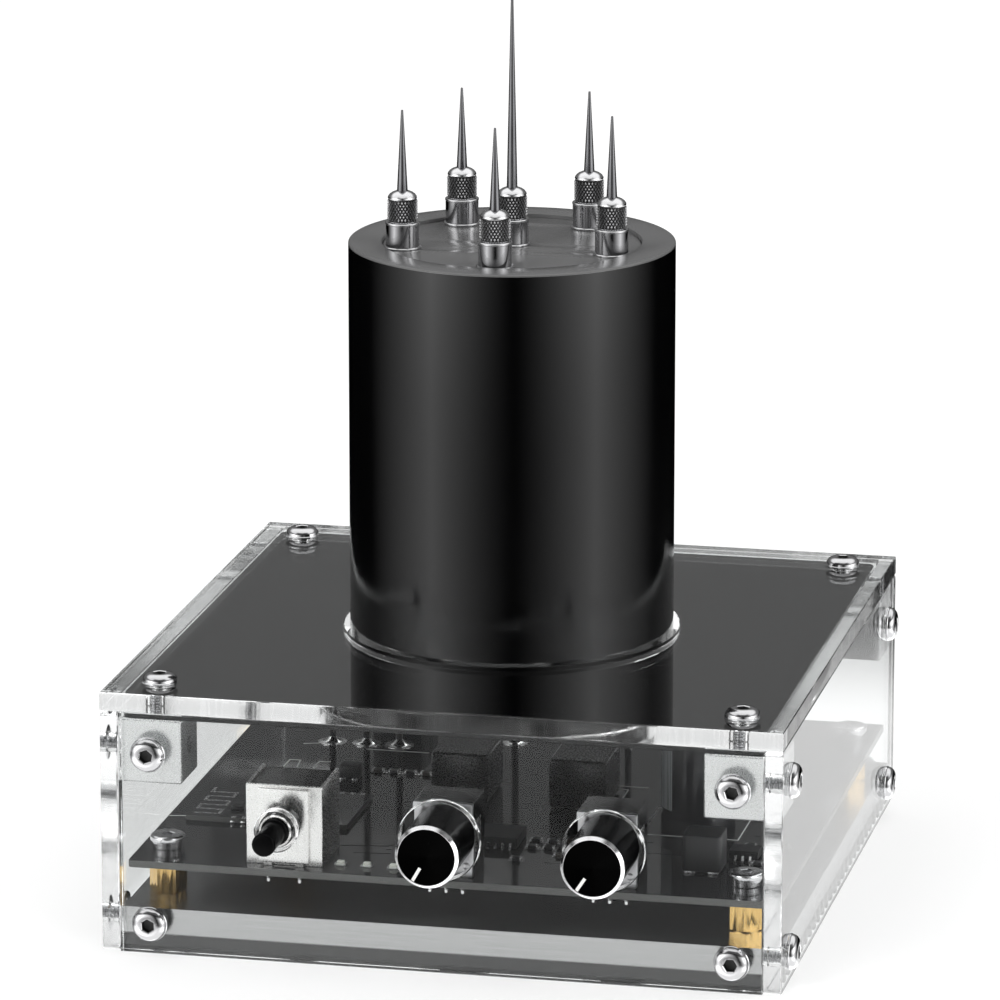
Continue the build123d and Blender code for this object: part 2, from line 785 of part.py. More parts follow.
def coil():
    """The coil inside the tower: base, formers, windings and the lead to the electrodes."""
    base = upright(tower_radius - tower_wall - coil_base_gap, top_underside, coil_base_top)
    base -= upright(former_radius - former_wall, top_underside, coil_base_top)
    screw = upright(screw_radius, -screw_bite, deck_thickness)
    head = upright(screw_head_radius, -screw_head_height, 0)
    head -= hex_prism(hex_across_flats, -screw_head_height, hex_depth - screw_head_height)
    coil_screw = head + upright(screw_radius, 0, deck_thickness + coil_base_thickness - running_clearance)
    screws_here = []
    for x, y in coil_screw_places():
        base -= upright(screw_radius + thread_clearance, top_underside, coil_base_top, x, y)
        screws_here.append(Pos(x, y, deck_underside) * coil_screw)
    save("coil_base", base)
    save("coil_base_screws", *screws_here)
    former = tube(former_radius, former_radius - former_wall, coil_base_top, former_top)
    former += tube(former_radius, post_stud_radius + thread_clearance,
                   former_top - former_end_thickness, former_top)
    save("secondary_former", former)
    save("secondary_winding", tube(former_radius + secondary_thickness, former_radius,
                                   coil_base_top + secondary_end, former_top - secondary_end))
    primary_top = coil_base_top + primary_former_height
    save("primary_former", tube(primary_former_radius, primary_former_radius - primary_former_wall,
                                coil_base_top, primary_top))
    save("primary_winding", tube(primary_former_radius + primary_thickness, primary_former_radius,
                                 coil_base_top + primary_end, primary_top - primary_end))
    save("secondary_lead", upright(post_stud_radius, former_top - former_end_thickness,
                                   plate_top - post_stud_length))


# ------------------------------------------------------------------------ the electrodes
def electrode_posts():
    """Six plated posts, each with a stud through the plate and a nut under it."""
    post = turned([
        (0, -post_stud_length),
        (post_stud_radius, -post_stud_length),
        (post_stud_radius, 0),
        (post_foot_radius, 0),
        (post_foot_radius, post_foot_height),
        (post_radius, post_foot_height),
        (post_radius, post_height),
        (post_bore_radius, post_height),
        (post_bore_radius, post_height - post_bore_depth),
        (0, post_height - post_bore_depth),
    ])
    nut = hex_prism(nut_across_flats, -nut_thickness, 0)
    nut -= upright(post_stud_radius + thread_clearance, -nut_thickness, 0)
    save("electrode_posts", *[Pos(x, y, plate_top) * post for x, y in needle_places])
    save("post_nuts", *[Pos(x, y, bonding_bottom) * nut for x, y in needle_places])


def electrode(index, x, y, reach):
    """One needle and the knurled cap that screws it down on its post."""
    bore = needle_radius + running_clearance
    cap = turned([
        (bore, -cap_spigot_length),
        (cap_spigot_radius, -cap_spigot_length),
        (cap_spigot_radius, 0),
        (cap_radius, 0),
        (cap_radius, cap_height),
        (cap_top_radius, cap_height + cap_taper_height),
        (bore, cap_height + cap_taper_height),
    ])
    shank_top = cap_height + cap_taper_height
    needle = turned([
        (0, needle_shank_end - cap_spigot_length),
        (needle_radius, needle_shank_end - cap_spigot_length),
        (needle_radius, shank_top),
        (needle_tip_radius, shank_top + reach),
        (0, shank_top + reach),
    ])
    save(f"knurled_cap_{index}", Pos(x, y, cap_bottom) * cap)
    save(f"needle_{index}", Pos(x, y, cap_bottom) * needle)


# ------------------------------------------------------------------------ the whole part
screws()
top_sheet()
front_panel()
back_panel()
side_panel("left_panel", -1)
side_panel("right_panel", 1)
deck()
corner_blocks()
heat_sink()
board_fasteners()
circuit_board()
switch_frame()
switch_housing()
switch_faceplate()
switch_plunger()
pots = [potentiometer(0), potentiometer(control_pitch)]
save("potentiometer_faces", *[face for face, body in pots])
save("potentiometer_bodies", *[body for face, body in pots])
dial("left", 0, left_pointer_angle)
dial("right", control_pitch, right_pointer_angle)
board_parts()
chip_parts()
coil_leads()
solder_joints()
power_inlet()
tower_shell()
electrode_plate()
coil()
electrode_posts()
for needle_index, (needle_x, needle_y) in enumerate(needle_places):
    needle_length = needle_reach if needle_index else centre_needle_reach
    electrode(needle_index, needle_x, needle_y, needle_length)
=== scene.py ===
from math import cos, pi, radians, sin

import bmesh
import bpy
from bpy.props import (
    FloatProperty, FloatVectorProperty, IntProperty, PointerProperty,
)
from bpy.types import Operator, Panel, PropertyGroup
from mathutils import Matrix, Vector
from mathutils.geometry import tessellate_polygon


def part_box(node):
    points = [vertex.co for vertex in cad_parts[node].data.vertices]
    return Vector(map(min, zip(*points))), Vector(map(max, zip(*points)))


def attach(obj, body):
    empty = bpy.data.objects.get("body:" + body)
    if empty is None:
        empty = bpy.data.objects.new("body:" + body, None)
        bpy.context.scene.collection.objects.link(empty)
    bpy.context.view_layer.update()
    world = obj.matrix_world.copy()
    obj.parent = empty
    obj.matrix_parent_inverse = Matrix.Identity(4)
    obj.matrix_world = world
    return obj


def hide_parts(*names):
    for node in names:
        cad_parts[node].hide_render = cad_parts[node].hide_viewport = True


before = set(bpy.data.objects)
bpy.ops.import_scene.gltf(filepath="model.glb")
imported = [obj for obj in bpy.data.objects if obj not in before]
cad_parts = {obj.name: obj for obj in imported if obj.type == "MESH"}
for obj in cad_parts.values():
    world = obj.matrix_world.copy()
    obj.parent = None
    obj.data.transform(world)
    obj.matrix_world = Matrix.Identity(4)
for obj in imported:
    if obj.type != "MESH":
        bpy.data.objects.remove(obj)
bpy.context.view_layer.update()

bl_info = {
    "name": "Desktop resonant transformer",
    "version": (1, 0, 0),
    "blender": (4, 5, 0),
    "location": "3D View > Sidebar > Transformer",
    "description": "Dresses the packed transformer: clear case, coil tower, electrodes and board",
    "category": "Object",
}

# Lengths in this file are millimetres. Piece turns them into metres when it is placed.
MILLIMETRE = 0.001
CORNERS = [(-1, -1), (1, -1), (1, 1), (-1, 1)]


def extent(node):
    """The lowest and highest corners of a node of the frame, in millimetres."""
    low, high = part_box(node)
    return Vector(low) / MILLIMETRE, Vector(high) / MILLIMETRE


# ------------------------------------------------------------------------------- settings
def millimetres(name, description, default, low, high):
    """A small length that a user can change."""
    return FloatProperty(name=name, description=description + ", in millimetres",
                         default=default, min=low, max=high)


def colour(name, description, default):
    """A colour that a user can change."""
    return FloatVectorProperty(name=name, description=description, subtype="COLOR", size=3,
                               min=0.0, max=1.0, default=default)


def number(name, description, default, low, high):
    """A whole number that a user can change."""
    return IntProperty(name=name, description=description, default=default, min=low, max=high)


def level(name, description, default, high):
    """A level of light that a user can change."""
    return FloatProperty(name=name, description=description, default=default, min=0.0, max=high)


class SheetSettings(PropertyGroup):
    """The clear acrylic sheets."""

    tint: colour("Tint", "Colour that light takes on in a sheet", (0.985, 0.995, 0.994))
    edge_break: millimetres("Edge break", "Bevel along the sheets' edges", 0.14, 0.02, 0.6)
    air_gap: millimetres("Air gap", "Air between a sheet and what it lies against",
                         0.03, 0.005, 0.2)
    streak_depth: millimetres("Streak depth", "Depth of the laser's streaks on a cut edge",
                              0.004, 0.0, 0.1)


class TowerSettings(PropertyGroup):
    """The black tube and the disc in its top."""

    colour: colour("Colour", "Colour of the black gloss", (0.001, 0.001, 0.0011))
    sides: number("Sides", "Facets round the tube", 192, 32, 512)
    edge_radius: millimetres("Edge radius", "Rounding of the tube's rim", 0.34, 0.05, 1.0)


class ScrewSettings(PropertyGroup):
    """The case's button-head screws."""

    pitch: millimetres("Thread pitch", "Rise of the thread in one turn", 0.5, 0.2, 1.5)
    thread_depth: millimetres("Thread depth", "Depth of the thread", 0.28, 0.05, 0.6)
    sides: number("Sides", "Facets round a screw; a multiple of six", 48, 12, 96)


class ElectrodeSettings(PropertyGroup):
    """The electrodes' posts, knurled caps and needles."""

    knurl_columns: number("Knurl columns", "Diamonds round a cap", 25, 8, 60)
    knurl_rows: number("Knurl rows", "Rows of half diamonds up a cap", 8, 4, 60)
    knurl_depth: millimetres("Knurl depth", "Depth of the knurling", 0.28, 0.02, 0.6)


class BoardSettings(PropertyGroup):
    """The circuit board."""

    mask: colour("Solder mask", "Colour of the board's mask", (0.012, 0.012, 0.013))
    track_height: millimetres("Track height", "How far a track stands above the board",
                              0.05, 0.005, 0.2)


class StageSettings(PropertyGroup):
    """Camera, floor and light."""

    lens: FloatProperty(
        name="Lens", description="Focal length", subtype="DISTANCE_CAMERA",
        default=246.65, min=20.0, max=600.0)
    camera_place: FloatVectorProperty(
        name="Camera place", description="Where the camera stands", subtype="TRANSLATION",
        unit="LENGTH", size=3, default=(0.242315, -1.118672, 0.360190))
    camera_aim: FloatVectorProperty(
        name="Camera aim", description="The direction in which the camera looks",
        subtype="DIRECTION", size=3, default=(-0.20678, 0.94639, -0.24816))
    floor_size: FloatProperty(
        name="Floor size", description="Length of the floor's sides", unit="LENGTH",
        default=6.0, min=1.0, max=20.0)
    softbox: level("Softbox", "Brightness of the light from above; 1 is white", 1.15, 4.0)
    behind: level("Behind", "Brightness of the studio behind the object; 1 is white", 0.17, 2.0)
    side_light: level("Side light", "Brightness of the two tall lights in reflections", 1.5, 4.0)
    floor_glow: level("Floor glow", "How far the floor's own white lifts its shadows", 0.6, 1.0)


# --------------------------------------------------------------------------- node helpers
class Nodes:
    """Adds linked nodes to one node tree."""

    def __init__(self, tree):
        self.tree = tree

    def join(self, value, socket):
        """Link a socket to an input, or set the input to a plain value."""
        if isinstance(value, bpy.types.NodeSocket):
            self.tree.links.new(value, socket)
        elif value is not None:
            socket.default_value = value

    def add(self, kind, settings=None, **inputs):
        """A new node of a kind, with its settings and its inputs by name."""
        node = self.tree.nodes.new(kind)
        for key, value in (settings or {}).items():
            setattr(node, key, value)
        for name, value in inputs.items():
            self.join(value, node.inputs[name.replace("_", " ")])
        return node

    def math(self, operation, first, *others):
        """The result of a Math node, or of a chain of them that takes one more value each."""
        for other in others or (None,):
            node = self.tree.nodes.new("ShaderNodeMath")
            node.operation = operation
            self.join(first, node.inputs[0])
            self.join(other, node.inputs[1])
            first = node.outputs[0]
        return first

    def distance(self, first, second):
        """The length of the hypotenuse over two values."""
        squares = [self.math("POWER", value, 2.0) for value in (first, second)]
        return self.math("SQRT", self.math("ADD", *squares))

    def axes(self, vector):
        """A vector's three values by name."""
        return self.add("ShaderNodeSeparateXYZ", Vector=vector).outputs

    def rays(self):
        """What kind of ray it is, by name, and how often it has turned."""
        return self.tree.nodes.new("ShaderNodeLightPath").outputs

    def span(self, value, low, high, to_low=0.0, to_high=1.0, smooth=True):
        """A value carried from one range to another, held at both ends."""
        node = self.tree.nodes.new("ShaderNodeMapRange")
        node.interpolation_type = "SMOOTHSTEP" if smooth else "LINEAR"
        for given, socket in zip((value, low, high, to_low, to_high), node.inputs):
            self.join(given, socket)
        return node.outputs[0]

    def blend(self, factor, first, second):
        """A colour between two colours."""
        node = self.add("ShaderNodeMix", {"data_type": "RGBA"})
        self.join(factor, node.inputs["Factor"])
        self.join(first, node.inputs[6])
        self.join(second, node.inputs[7])
        return node.outputs[2]

    def point(self, stretch=(1.0, 1.0, 1.0)):
        """The place on the object in millimetres, stretched along each axis."""
        place = self.tree.nodes.new("ShaderNodeTexCoord").outputs["Object"]
        scale = tuple(factor / MILLIMETRE for factor in stretch)
        return self.add("ShaderNodeMapping", Vector=place, Scale=scale).outputs[0]

    def noise(self, scale, detail=2.0, stretch=(1.0, 1.0, 1.0)):
        """Noise with so many features to a millimetre."""
        return self.add("ShaderNodeTexNoise", Vector=self.point(stretch), Scale=scale,
                        Detail=detail).outputs["Fac"]

    def bump(self, height, depth):
        """A surface normal bent by a height that runs from 0 to 1, so many millimetres deep."""
        return self.add("ShaderNodeBump", Strength=1.0, Distance=depth * MILLIMETRE,
                        Height=height).outputs[0]


class Finish(Nodes):
    """A material that starts from one Principled shader."""

    def __init__(self, name, colour, roughness, metallic=0.0, **sockets):
        self.material = bpy.data.materials.new(name)
        self.material.use_nodes = True
        super().__init__(self.material.node_tree)
        self.surface = self.tree.nodes["Principled BSDF"]
        self.colour = (*colour, 1.0)
        self.set(Base_Color=self.colour, Roughness=roughness, Metallic=metallic, **sockets)
        self.material.diffuse_color = self.colour

    def set(self, **sockets):
        """Set or link inputs of the Principled shader."""
        for name, value in sockets.items():
            self.join(value, self.surface.inputs[name.replace("_", " ")])

    def shade(self, factor, darker, lighter):
        """Vary the base colour between two multiples of itself."""
        first = tuple(channel * darker for channel in self.colour[:3]) + (1.0,)
        second = tuple(min(channel * lighter, 1.0) for channel in self.colour[:3]) + (1.0,)
        self.set(Base_Color=self.blend(factor, first, second))

    def grain(self, scale, depth, stretch=(1.0, 1.0, 1.0), *, change, rough):
        """A grain that varies the colour, the roughness and the height together."""
        pattern = self.noise(scale, 3.0, stretch)
        self.shade(pattern, 1.0 - change, 1.0 + change)
        self.set(Roughness=self.span(pattern, 0.3, 0.7, *rough))
        if depth:
            self.set(Normal=self.bump(pattern, depth))


# ------------------------------------------------------------------------------- finishes
# Plain finishes: colour, roughness range, metallic, grain to a millimetre, its depth in
# millimetres, how much the colour changes and, where it isn't even, its stretch along X, Y, Z.
PLAIN_FINISHES = {
    "deck_gloss_black": ((0.0008, 0.0008, 0.0009), (0.03, 0.06), 0.0, 0.15, 0.0, 0.1),
    "screw_polished_steel": ((0.62, 0.62, 0.63), (0.12, 0.2), 1.0, 3.0, 0.001, 0.06),
    "thread_steel": ((0.42, 0.42, 0.43), (0.22, 0.34), 1.0, 3.0, 0.001, 0.1),
    "socket_shadow": ((0.03, 0.03, 0.03), (0.4, 0.5), 0.6, 3.0, 0.001, 0.1),
    "bushing_dark": ((0.08, 0.08, 0.08), (0.14, 0.2), 1.0, 4.0, 0.001, 0.06),
    "block_satin_nickel": ((0.66, 0.66, 0.66), (0.24, 0.32), 0.85, 5.0, 0.002, 0.04),
    "standoff_brass": ((0.66, 0.45, 0.18), (0.16, 0.26), 1.0, 4.0, 0.002, 0.08, (1.0, 1.0, 0.2)),
    "switch_nickel": ((0.82, 0.81, 0.8), (0.22, 0.3), 1.0, 4.0, 0.001, 0.04),
    "pot_zinc": ((0.5, 0.5, 0.51), (0.3, 0.42), 1.0, 4.0, 0.003, 0.1),
    "housing_black": ((0.006, 0.006, 0.0065), (0.14, 0.22), 0.0, 5.0, 0.004, 0.15),
    "film_box_black": ((0.007, 0.007, 0.0075), (0.2, 0.3), 0.0, 3.0, 0.006, 0.15),
    "sleeve_black": ((0.009, 0.009, 0.011), (0.16, 0.26), 0.0, 0.8, 0.006, 0.12),
    "can_aluminium": ((0.7, 0.7, 0.71), (0.22, 0.32), 1.0, 4.0, 0.002, 0.05),
    "stripe_grey": ((0.3, 0.31, 0.32), (0.3, 0.4), 0.0, 2.0, 0.002, 0.08),
    "ferrite_grey": ((0.018, 0.018, 0.019), (0.38, 0.5), 0.0, 6.0, 0.01, 0.2),
    "chip_black": ((0.013, 0.013, 0.014), (0.42, 0.55), 0.0, 8.0, 0.004, 0.2),
    "lead_tin": ((0.6, 0.6, 0.6), (0.2, 0.3), 1.0, 4.0, 0.001, 0.05),
    "chip_ceramic": ((0.05, 0.043, 0.037), (0.45, 0.6), 0.0, 7.0, 0.004, 0.2),
    "resistor_black": ((0.02, 0.02, 0.022), (0.35, 0.5), 0.0, 7.0, 0.003, 0.2),
    "solder_bright": ((0.66, 0.66, 0.66), (0.14, 0.24), 1.0, 1.6, 0.02, 0.05),
    "wire_black": ((0.008, 0.008, 0.009), (0.3, 0.42), 0.0, 2.0, 0.004, 0.1),
    "led_body_white": ((0.62, 0.63, 0.6), (0.35, 0.45), 0.0, 5.0, 0.002, 0.05),
    "led_lens": ((0.75, 0.76, 0.7), (0.08, 0.14), 0.0, 5.0, 0.0, 0.03),
    "inlet_black": ((0.012, 0.012, 0.013), (0.35, 0.48), 0.0, 5.0, 0.004, 0.12),
    "inlet_pin_plate": ((0.7, 0.7, 0.7), (0.12, 0.2), 1.0, 3.0, 0.001, 0.05),
    "coil_base_black": ((0.014, 0.014, 0.015), (0.35, 0.5), 0.0, 2.0, 0.004, 0.1),
    "former_white": ((0.6, 0.59, 0.55), (0.4, 0.5), 0.0, 0.6, 0.006, 0.06),
    "bonding_brass": ((0.75, 0.5, 0.2), (0.2, 0.32), 1.0, 2.0, 0.002, 0.1, (0.1, 1.0, 1.0)),
    "post_nickel": ((0.42, 0.42, 0.43), (0.08, 0.14), 1.0, 4.0, 0.001, 0.05),
    "cap_nickel": ((0.7, 0.7, 0.71), (0.12, 0.2), 1.0, 5.0, 0.001, 0.05),
    "disc_satin_black": ((0.11, 0.11, 0.111), (0.17, 0.21), 0.0, 3.0, 0.0, 0.06),
    # Painted highlight: the tower tube's rounded rims are coloured far lighter than its black
    # gloss.
    "rim_bright_edge": ((0.1, 0.1, 0.1), (0.2, 0.26), 0.0, 3.0, 0.0, 0.06),
    "shaft_turned": ((0.66, 0.66, 0.67), (0.2, 0.3), 1.0, 5.0, 0.002, 0.08, (0.2, 6.0, 0.2)),
    "knob_bright_rim": ((0.8, 0.8, 0.81), (0.12, 0.2), 1.0, 4.0, 0.001, 0.05),
    "pointer_white": ((0.82, 0.82, 0.8), (0.4, 0.5), 0.0, 6.0, 0.002, 0.04),
    "needle_ground_steel": ((0.26, 0.26, 0.27), (0.14, 0.22), 1.0, 2.0, 0.001, 0.06,
                            (1.0, 1.0, 0.1)),
    "silk_white": ((0.7, 0.7, 0.68), (0.5, 0.65), 0.0, 6.0, 0.003, 0.08),
    "board_edge": ((0.09, 0.09, 0.087), (0.4, 0.6), 0.0, 3.0, 0.02, 0.6, (0.4, 0.4, 3.0)),
    "spring_steel": ((0.45, 0.45, 0.46), (0.2, 0.3), 1.0, 3.0, 0.002, 0.08),
}


def plain_finish(name):
    """A finish from the table above."""
    colour, rough, metallic, scale, depth, change, *stretch = PLAIN_FINISHES[name]
    finish = Finish(name, colour, rough[0], metallic)
    finish.grain(scale, depth, *stretch, change=change, rough=rough)
    return finish.material


def clear_acrylic(name, cut=None, index=1.49):
    """Clear acrylic that lets the lamps through. An edge has the laser's streaks along the axis
    of the cut, which is the one that the sheet is thin along."""
    sheets = bpy.context.scene.transformer_sheets
    finish = Finish(name, sheets.tint, 0.0, Transmission_Weight=1.0, IOR=index)
    if cut is not None:
        streaks = finish.noise(2.2, 2.0, [0.05 if axis == cut else 1.0 for axis in range(3)])
        finish.set(Normal=finish.bump(streaks, sheets.streak_depth),
                   Roughness=finish.span(streaks, 0.4, 0.7, 0.08, 0.18))
    else:
        finish.set(Specular_Tint=(0.25, 0.25, 0.25, 1.0))
        haze = finish.noise(0.05, 3.0)
        finish.set(Roughness=finish.span(haze, 0.45, 0.75, 0.0, 0.012))
    path = finish.rays()
    through = finish.add("ShaderNodeBsdfTransparent", Color=(*sheets.tint, 1.0))
    shown = finish.surface
    for ray in ("Is Diffuse Ray", "Is Shadow Ray"):
        mixed = finish.add("ShaderNodeMixShader", Fac=path[ray])
        finish.join(shown.outputs[0], mixed.inputs[1])
        finish.join(through.outputs[0], mixed.inputs[2])
        shown = mixed
    finish.join(shown.outputs[0], finish.tree.nodes["Material Output"].inputs["Surface"])
    return finish.material


def tower_gloss(name):
    """Polished black acrylic with the faint draw lines of a tube."""
    colour = bpy.context.scene.transformer_tower.colour
    finish = Finish(name, colour, 0.03, IOR=1.49)
    ripple = finish.noise(0.09, 1.0, (1.0, 1.0, 0.3))
    wiped = finish.noise(0.25, 4.0, (1.0, 1.0, 0.4))
    finish.set(Normal=finish.bump(ripple, 0.002),
               Roughness=finish.span(wiped, 0.35, 0.75, 0.12, 0.15))
    return finish.material


def milled_base(name):
    """Drawn aluminium with streaks along the fins, which carry painted shade: their colour is much
    darker than the plate above them.
    """
    finish = Finish(name, (0.5, 0.5, 0.5), 0.2, 0.95)
    streaks = finish.noise(2.4, 3.0, (0.03, 1.0, 1.0))
    height = finish.axes(finish.point())["Z"]
    plate = finish.span(height, FIN_HEIGHT - 0.25, FIN_HEIGHT + 0.1)
    finish.shade(streaks, 0.86, 1.08)
    lit = finish.surface.inputs["Base Color"].links[0].from_socket
    # Painted shade: below the plate, the fins' colour is blended most of the way to black.
    fin_painted_shade = finish.blend(0.8, lit, (0.02, 0.02, 0.02, 1.0))
    finish.set(Base_Color=finish.blend(plate, fin_painted_shade, lit),
               Roughness=finish.span(streaks, 0.3, 0.7, 0.18, 0.26),
               Normal=finish.bump(streaks, 0.003))
    return finish.material


def board_mask(name, lighter=1.0):
    """Black solder mask over copper, with a slight orange peel."""
    colour = [channel * lighter for channel in bpy.context.scene.transformer_board.mask]
    finish = Finish(name, colour, 0.08, IOR=1.5)
    finish.grain(0.22, 0.001, change=0.2, rough=(0.06, 0.1))
    return finish.material


def knob_black_side(name):
    """Deep black anodising that hardly shines."""
    finish = Finish(name, (0.002, 0.002, 0.0022), 0.2, Specular_IOR_Level=0.05)
    finish.grain(3.0, 0.001, change=0.1, rough=(0.16, 0.24))
    return finish.material


def cap_knurled(name):
    """Plated knurling: bright points, and painted shade in the grooves, which are also rougher."""
    finish = Finish(name, (0.7, 0.7, 0.71), 0.2, 1.0)
    groove = finish.add("ShaderNodeAttribute", {"attribute_name": GROOVE}).outputs["Fac"]
    low = finish.span(groove, 0.35, 0.9)
    # Painted shade: the colour is blended towards black down in the knurl's grooves.
    finish.set(Base_Color=finish.blend(low, finish.colour, (0.05, 0.05, 0.051, 1.0)),
               Roughness=finish.span(low, 0.0, 1.0, 0.16, 0.5))
    return finish.material


def knob_spun_face(name):
    """A black anodised face with the fine rings of the lathe round the knob's own axis."""
    finish = Finish(name, (0.0006, 0.0006, 0.0006), 0.26, Specular_IOR_Level=0.01)
    low, high = extent("left_knob")
    pitch = extent("right_knob")[0].x - low.x
    place = finish.axes(finish.point())
    # Both knobs share the finish, so X is folded onto the nearer knob's axis.
    across = finish.math("PINGPONG", finish.math("ABSOLUTE", place["X"]), pitch / 2)
    up = finish.math("SUBTRACT", place["Z"], (low.z + high.z) / 2)
    turns = finish.math("MULTIPLY", finish.distance(across, up), 2 * pi / SPUN_RING_PITCH)
    finish.set(Normal=finish.bump(finish.math("SINE", turns), 0.004))
    finish.shade(finish.noise(3.0), 0.8, 1.3)
    return finish.material


def wound_copper(name):
    """Enamelled copper wire wound side by side round an upright former."""
    finish = Finish(name, (0.42, 0.15, 0.055), 0.28, 0.9)
    height = finish.axes(finish.point())["Z"]
    turns = finish.math("SINE", finish.math("MULTIPLY", height, 2 * pi / WIRE_PITCH))
    finish.set(Normal=finish.bump(turns, 0.1))
    # Painted shade and highlight: each turn is darker down in the creases between wires and
    # lighter on its crown.
    finish.shade(finish.span(turns, -1.0, 1.0), 0.6, 1.15)
    return finish.material


SPECIAL_FINISHES = {
    "acrylic_face": clear_acrylic,
    # The wall of the tower's hole gives back only the black tower beside it.
    "acrylic_bore": lambda name: clear_acrylic(name, index=1.001),
    "acrylic_cut_side": lambda name: clear_acrylic(name, cut=0),
    "acrylic_cut_front": lambda name: clear_acrylic(name, cut=1),
    "acrylic_cut_top": lambda name: clear_acrylic(name, cut=2),
    "tower_gloss": tower_gloss,
    "base_milled_aluminium": milled_base,
    "cap_knurled": cap_knurled,
    "knob_black_side": knob_black_side,
    "plunger_black": knob_black_side,
    "board_mask": board_mask,
    "board_track": lambda name: board_mask(name, lighter=1.9),
    "module_mask": lambda name: board_mask(name, lighter=1.3),
    "knob_spun_face": knob_spun_face,
    "wound_copper": wound_copper,
}


def finish_of(name):
    """The material of that name, which is made when it is first asked for."""
    # The frame brings plain materials of its own, and some have the same names.
    found = bpy.data.materials.get(name + "_look")
    if found:
        return found
    make = SPECIAL_FINISHES.get(name, plain_finish)
    made = make(name)
    made.name = name + "_look"
    return made


def refinish(node, name):
    """Give a node of the frame a better material in each of its slots."""
    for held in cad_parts[node].material_slots:
        held.material = finish_of(name)


# ------------------------------------------------------------------------- outline helpers
# An outline is a function from an inset to the outline's points, so that an edge can be
# broken by drawing the same outline twice.
def rectangle(low_x, high_x, low_y, high_y, corner=0.0, steps=3):
    """A rectangle with round corners, or with square ones if corner is 0."""
    def points(inset):
        radius = max(corner, inset) if corner else inset
        around = []
        for index, (side_x, side_y) in enumerate(CORNERS):
            x = (high_x if side_x > 0 else low_x) - side_x * radius
            y = (high_y if side_y > 0 else low_y) - side_y * radius
            start = pi + index * pi / 2
            for step in range(steps + 1 if corner else 1):
                angle = start + step / steps * pi / 2
                reach = radius - inset
                around.append((x + reach * cos(angle), y + reach * sin(angle)))
        return around
    return points


def disc(x, y, radius, sides=64):
    """A circle."""
    def points(inset):
        return [(x + (radius - inset) * cos(2 * pi * k / sides),
                 y + (radius - inset) * sin(2 * pi * k / sides)) for k in range(sides)]
    return points


def hexagon(across_flats):
    """The radius of a hexagon at an angle, for a turned form that changes into one."""
    def radius(angle):
        from_flat = (angle + pi / 6) % (pi / 3) - pi / 6
        return across_flats / 2 / cos(from_flat)
    return radius


def quarter(steps, first=0):
    """The cosine and sine at each step of a quarter turn."""
    return [(cos(step / steps * pi / 2), sin(step / steps * pi / 2))
            for step in range(first, steps + 1)]


def upright(x, y, turn=0.0):
    """A frame at a place, turned round its Z axis."""
    return Matrix.Translation((x, y, 0)) @ Matrix.Rotation(turn, 4, "Z")


def facing_front(x=0.0, z=0.0):
    """A frame whose Z axis comes out of the front sheet."""
    return Matrix.Translation((x, 0, z)) @ Matrix.Rotation(radians(90), 4, "X")


def facing_side(side):
    """A frame whose Z axis comes out of a side sheet, and whose X axis runs along it."""
    return Matrix.Rotation(radians(90 * side), 4, "Z") @ Matrix.Rotation(radians(90), 4, "X")


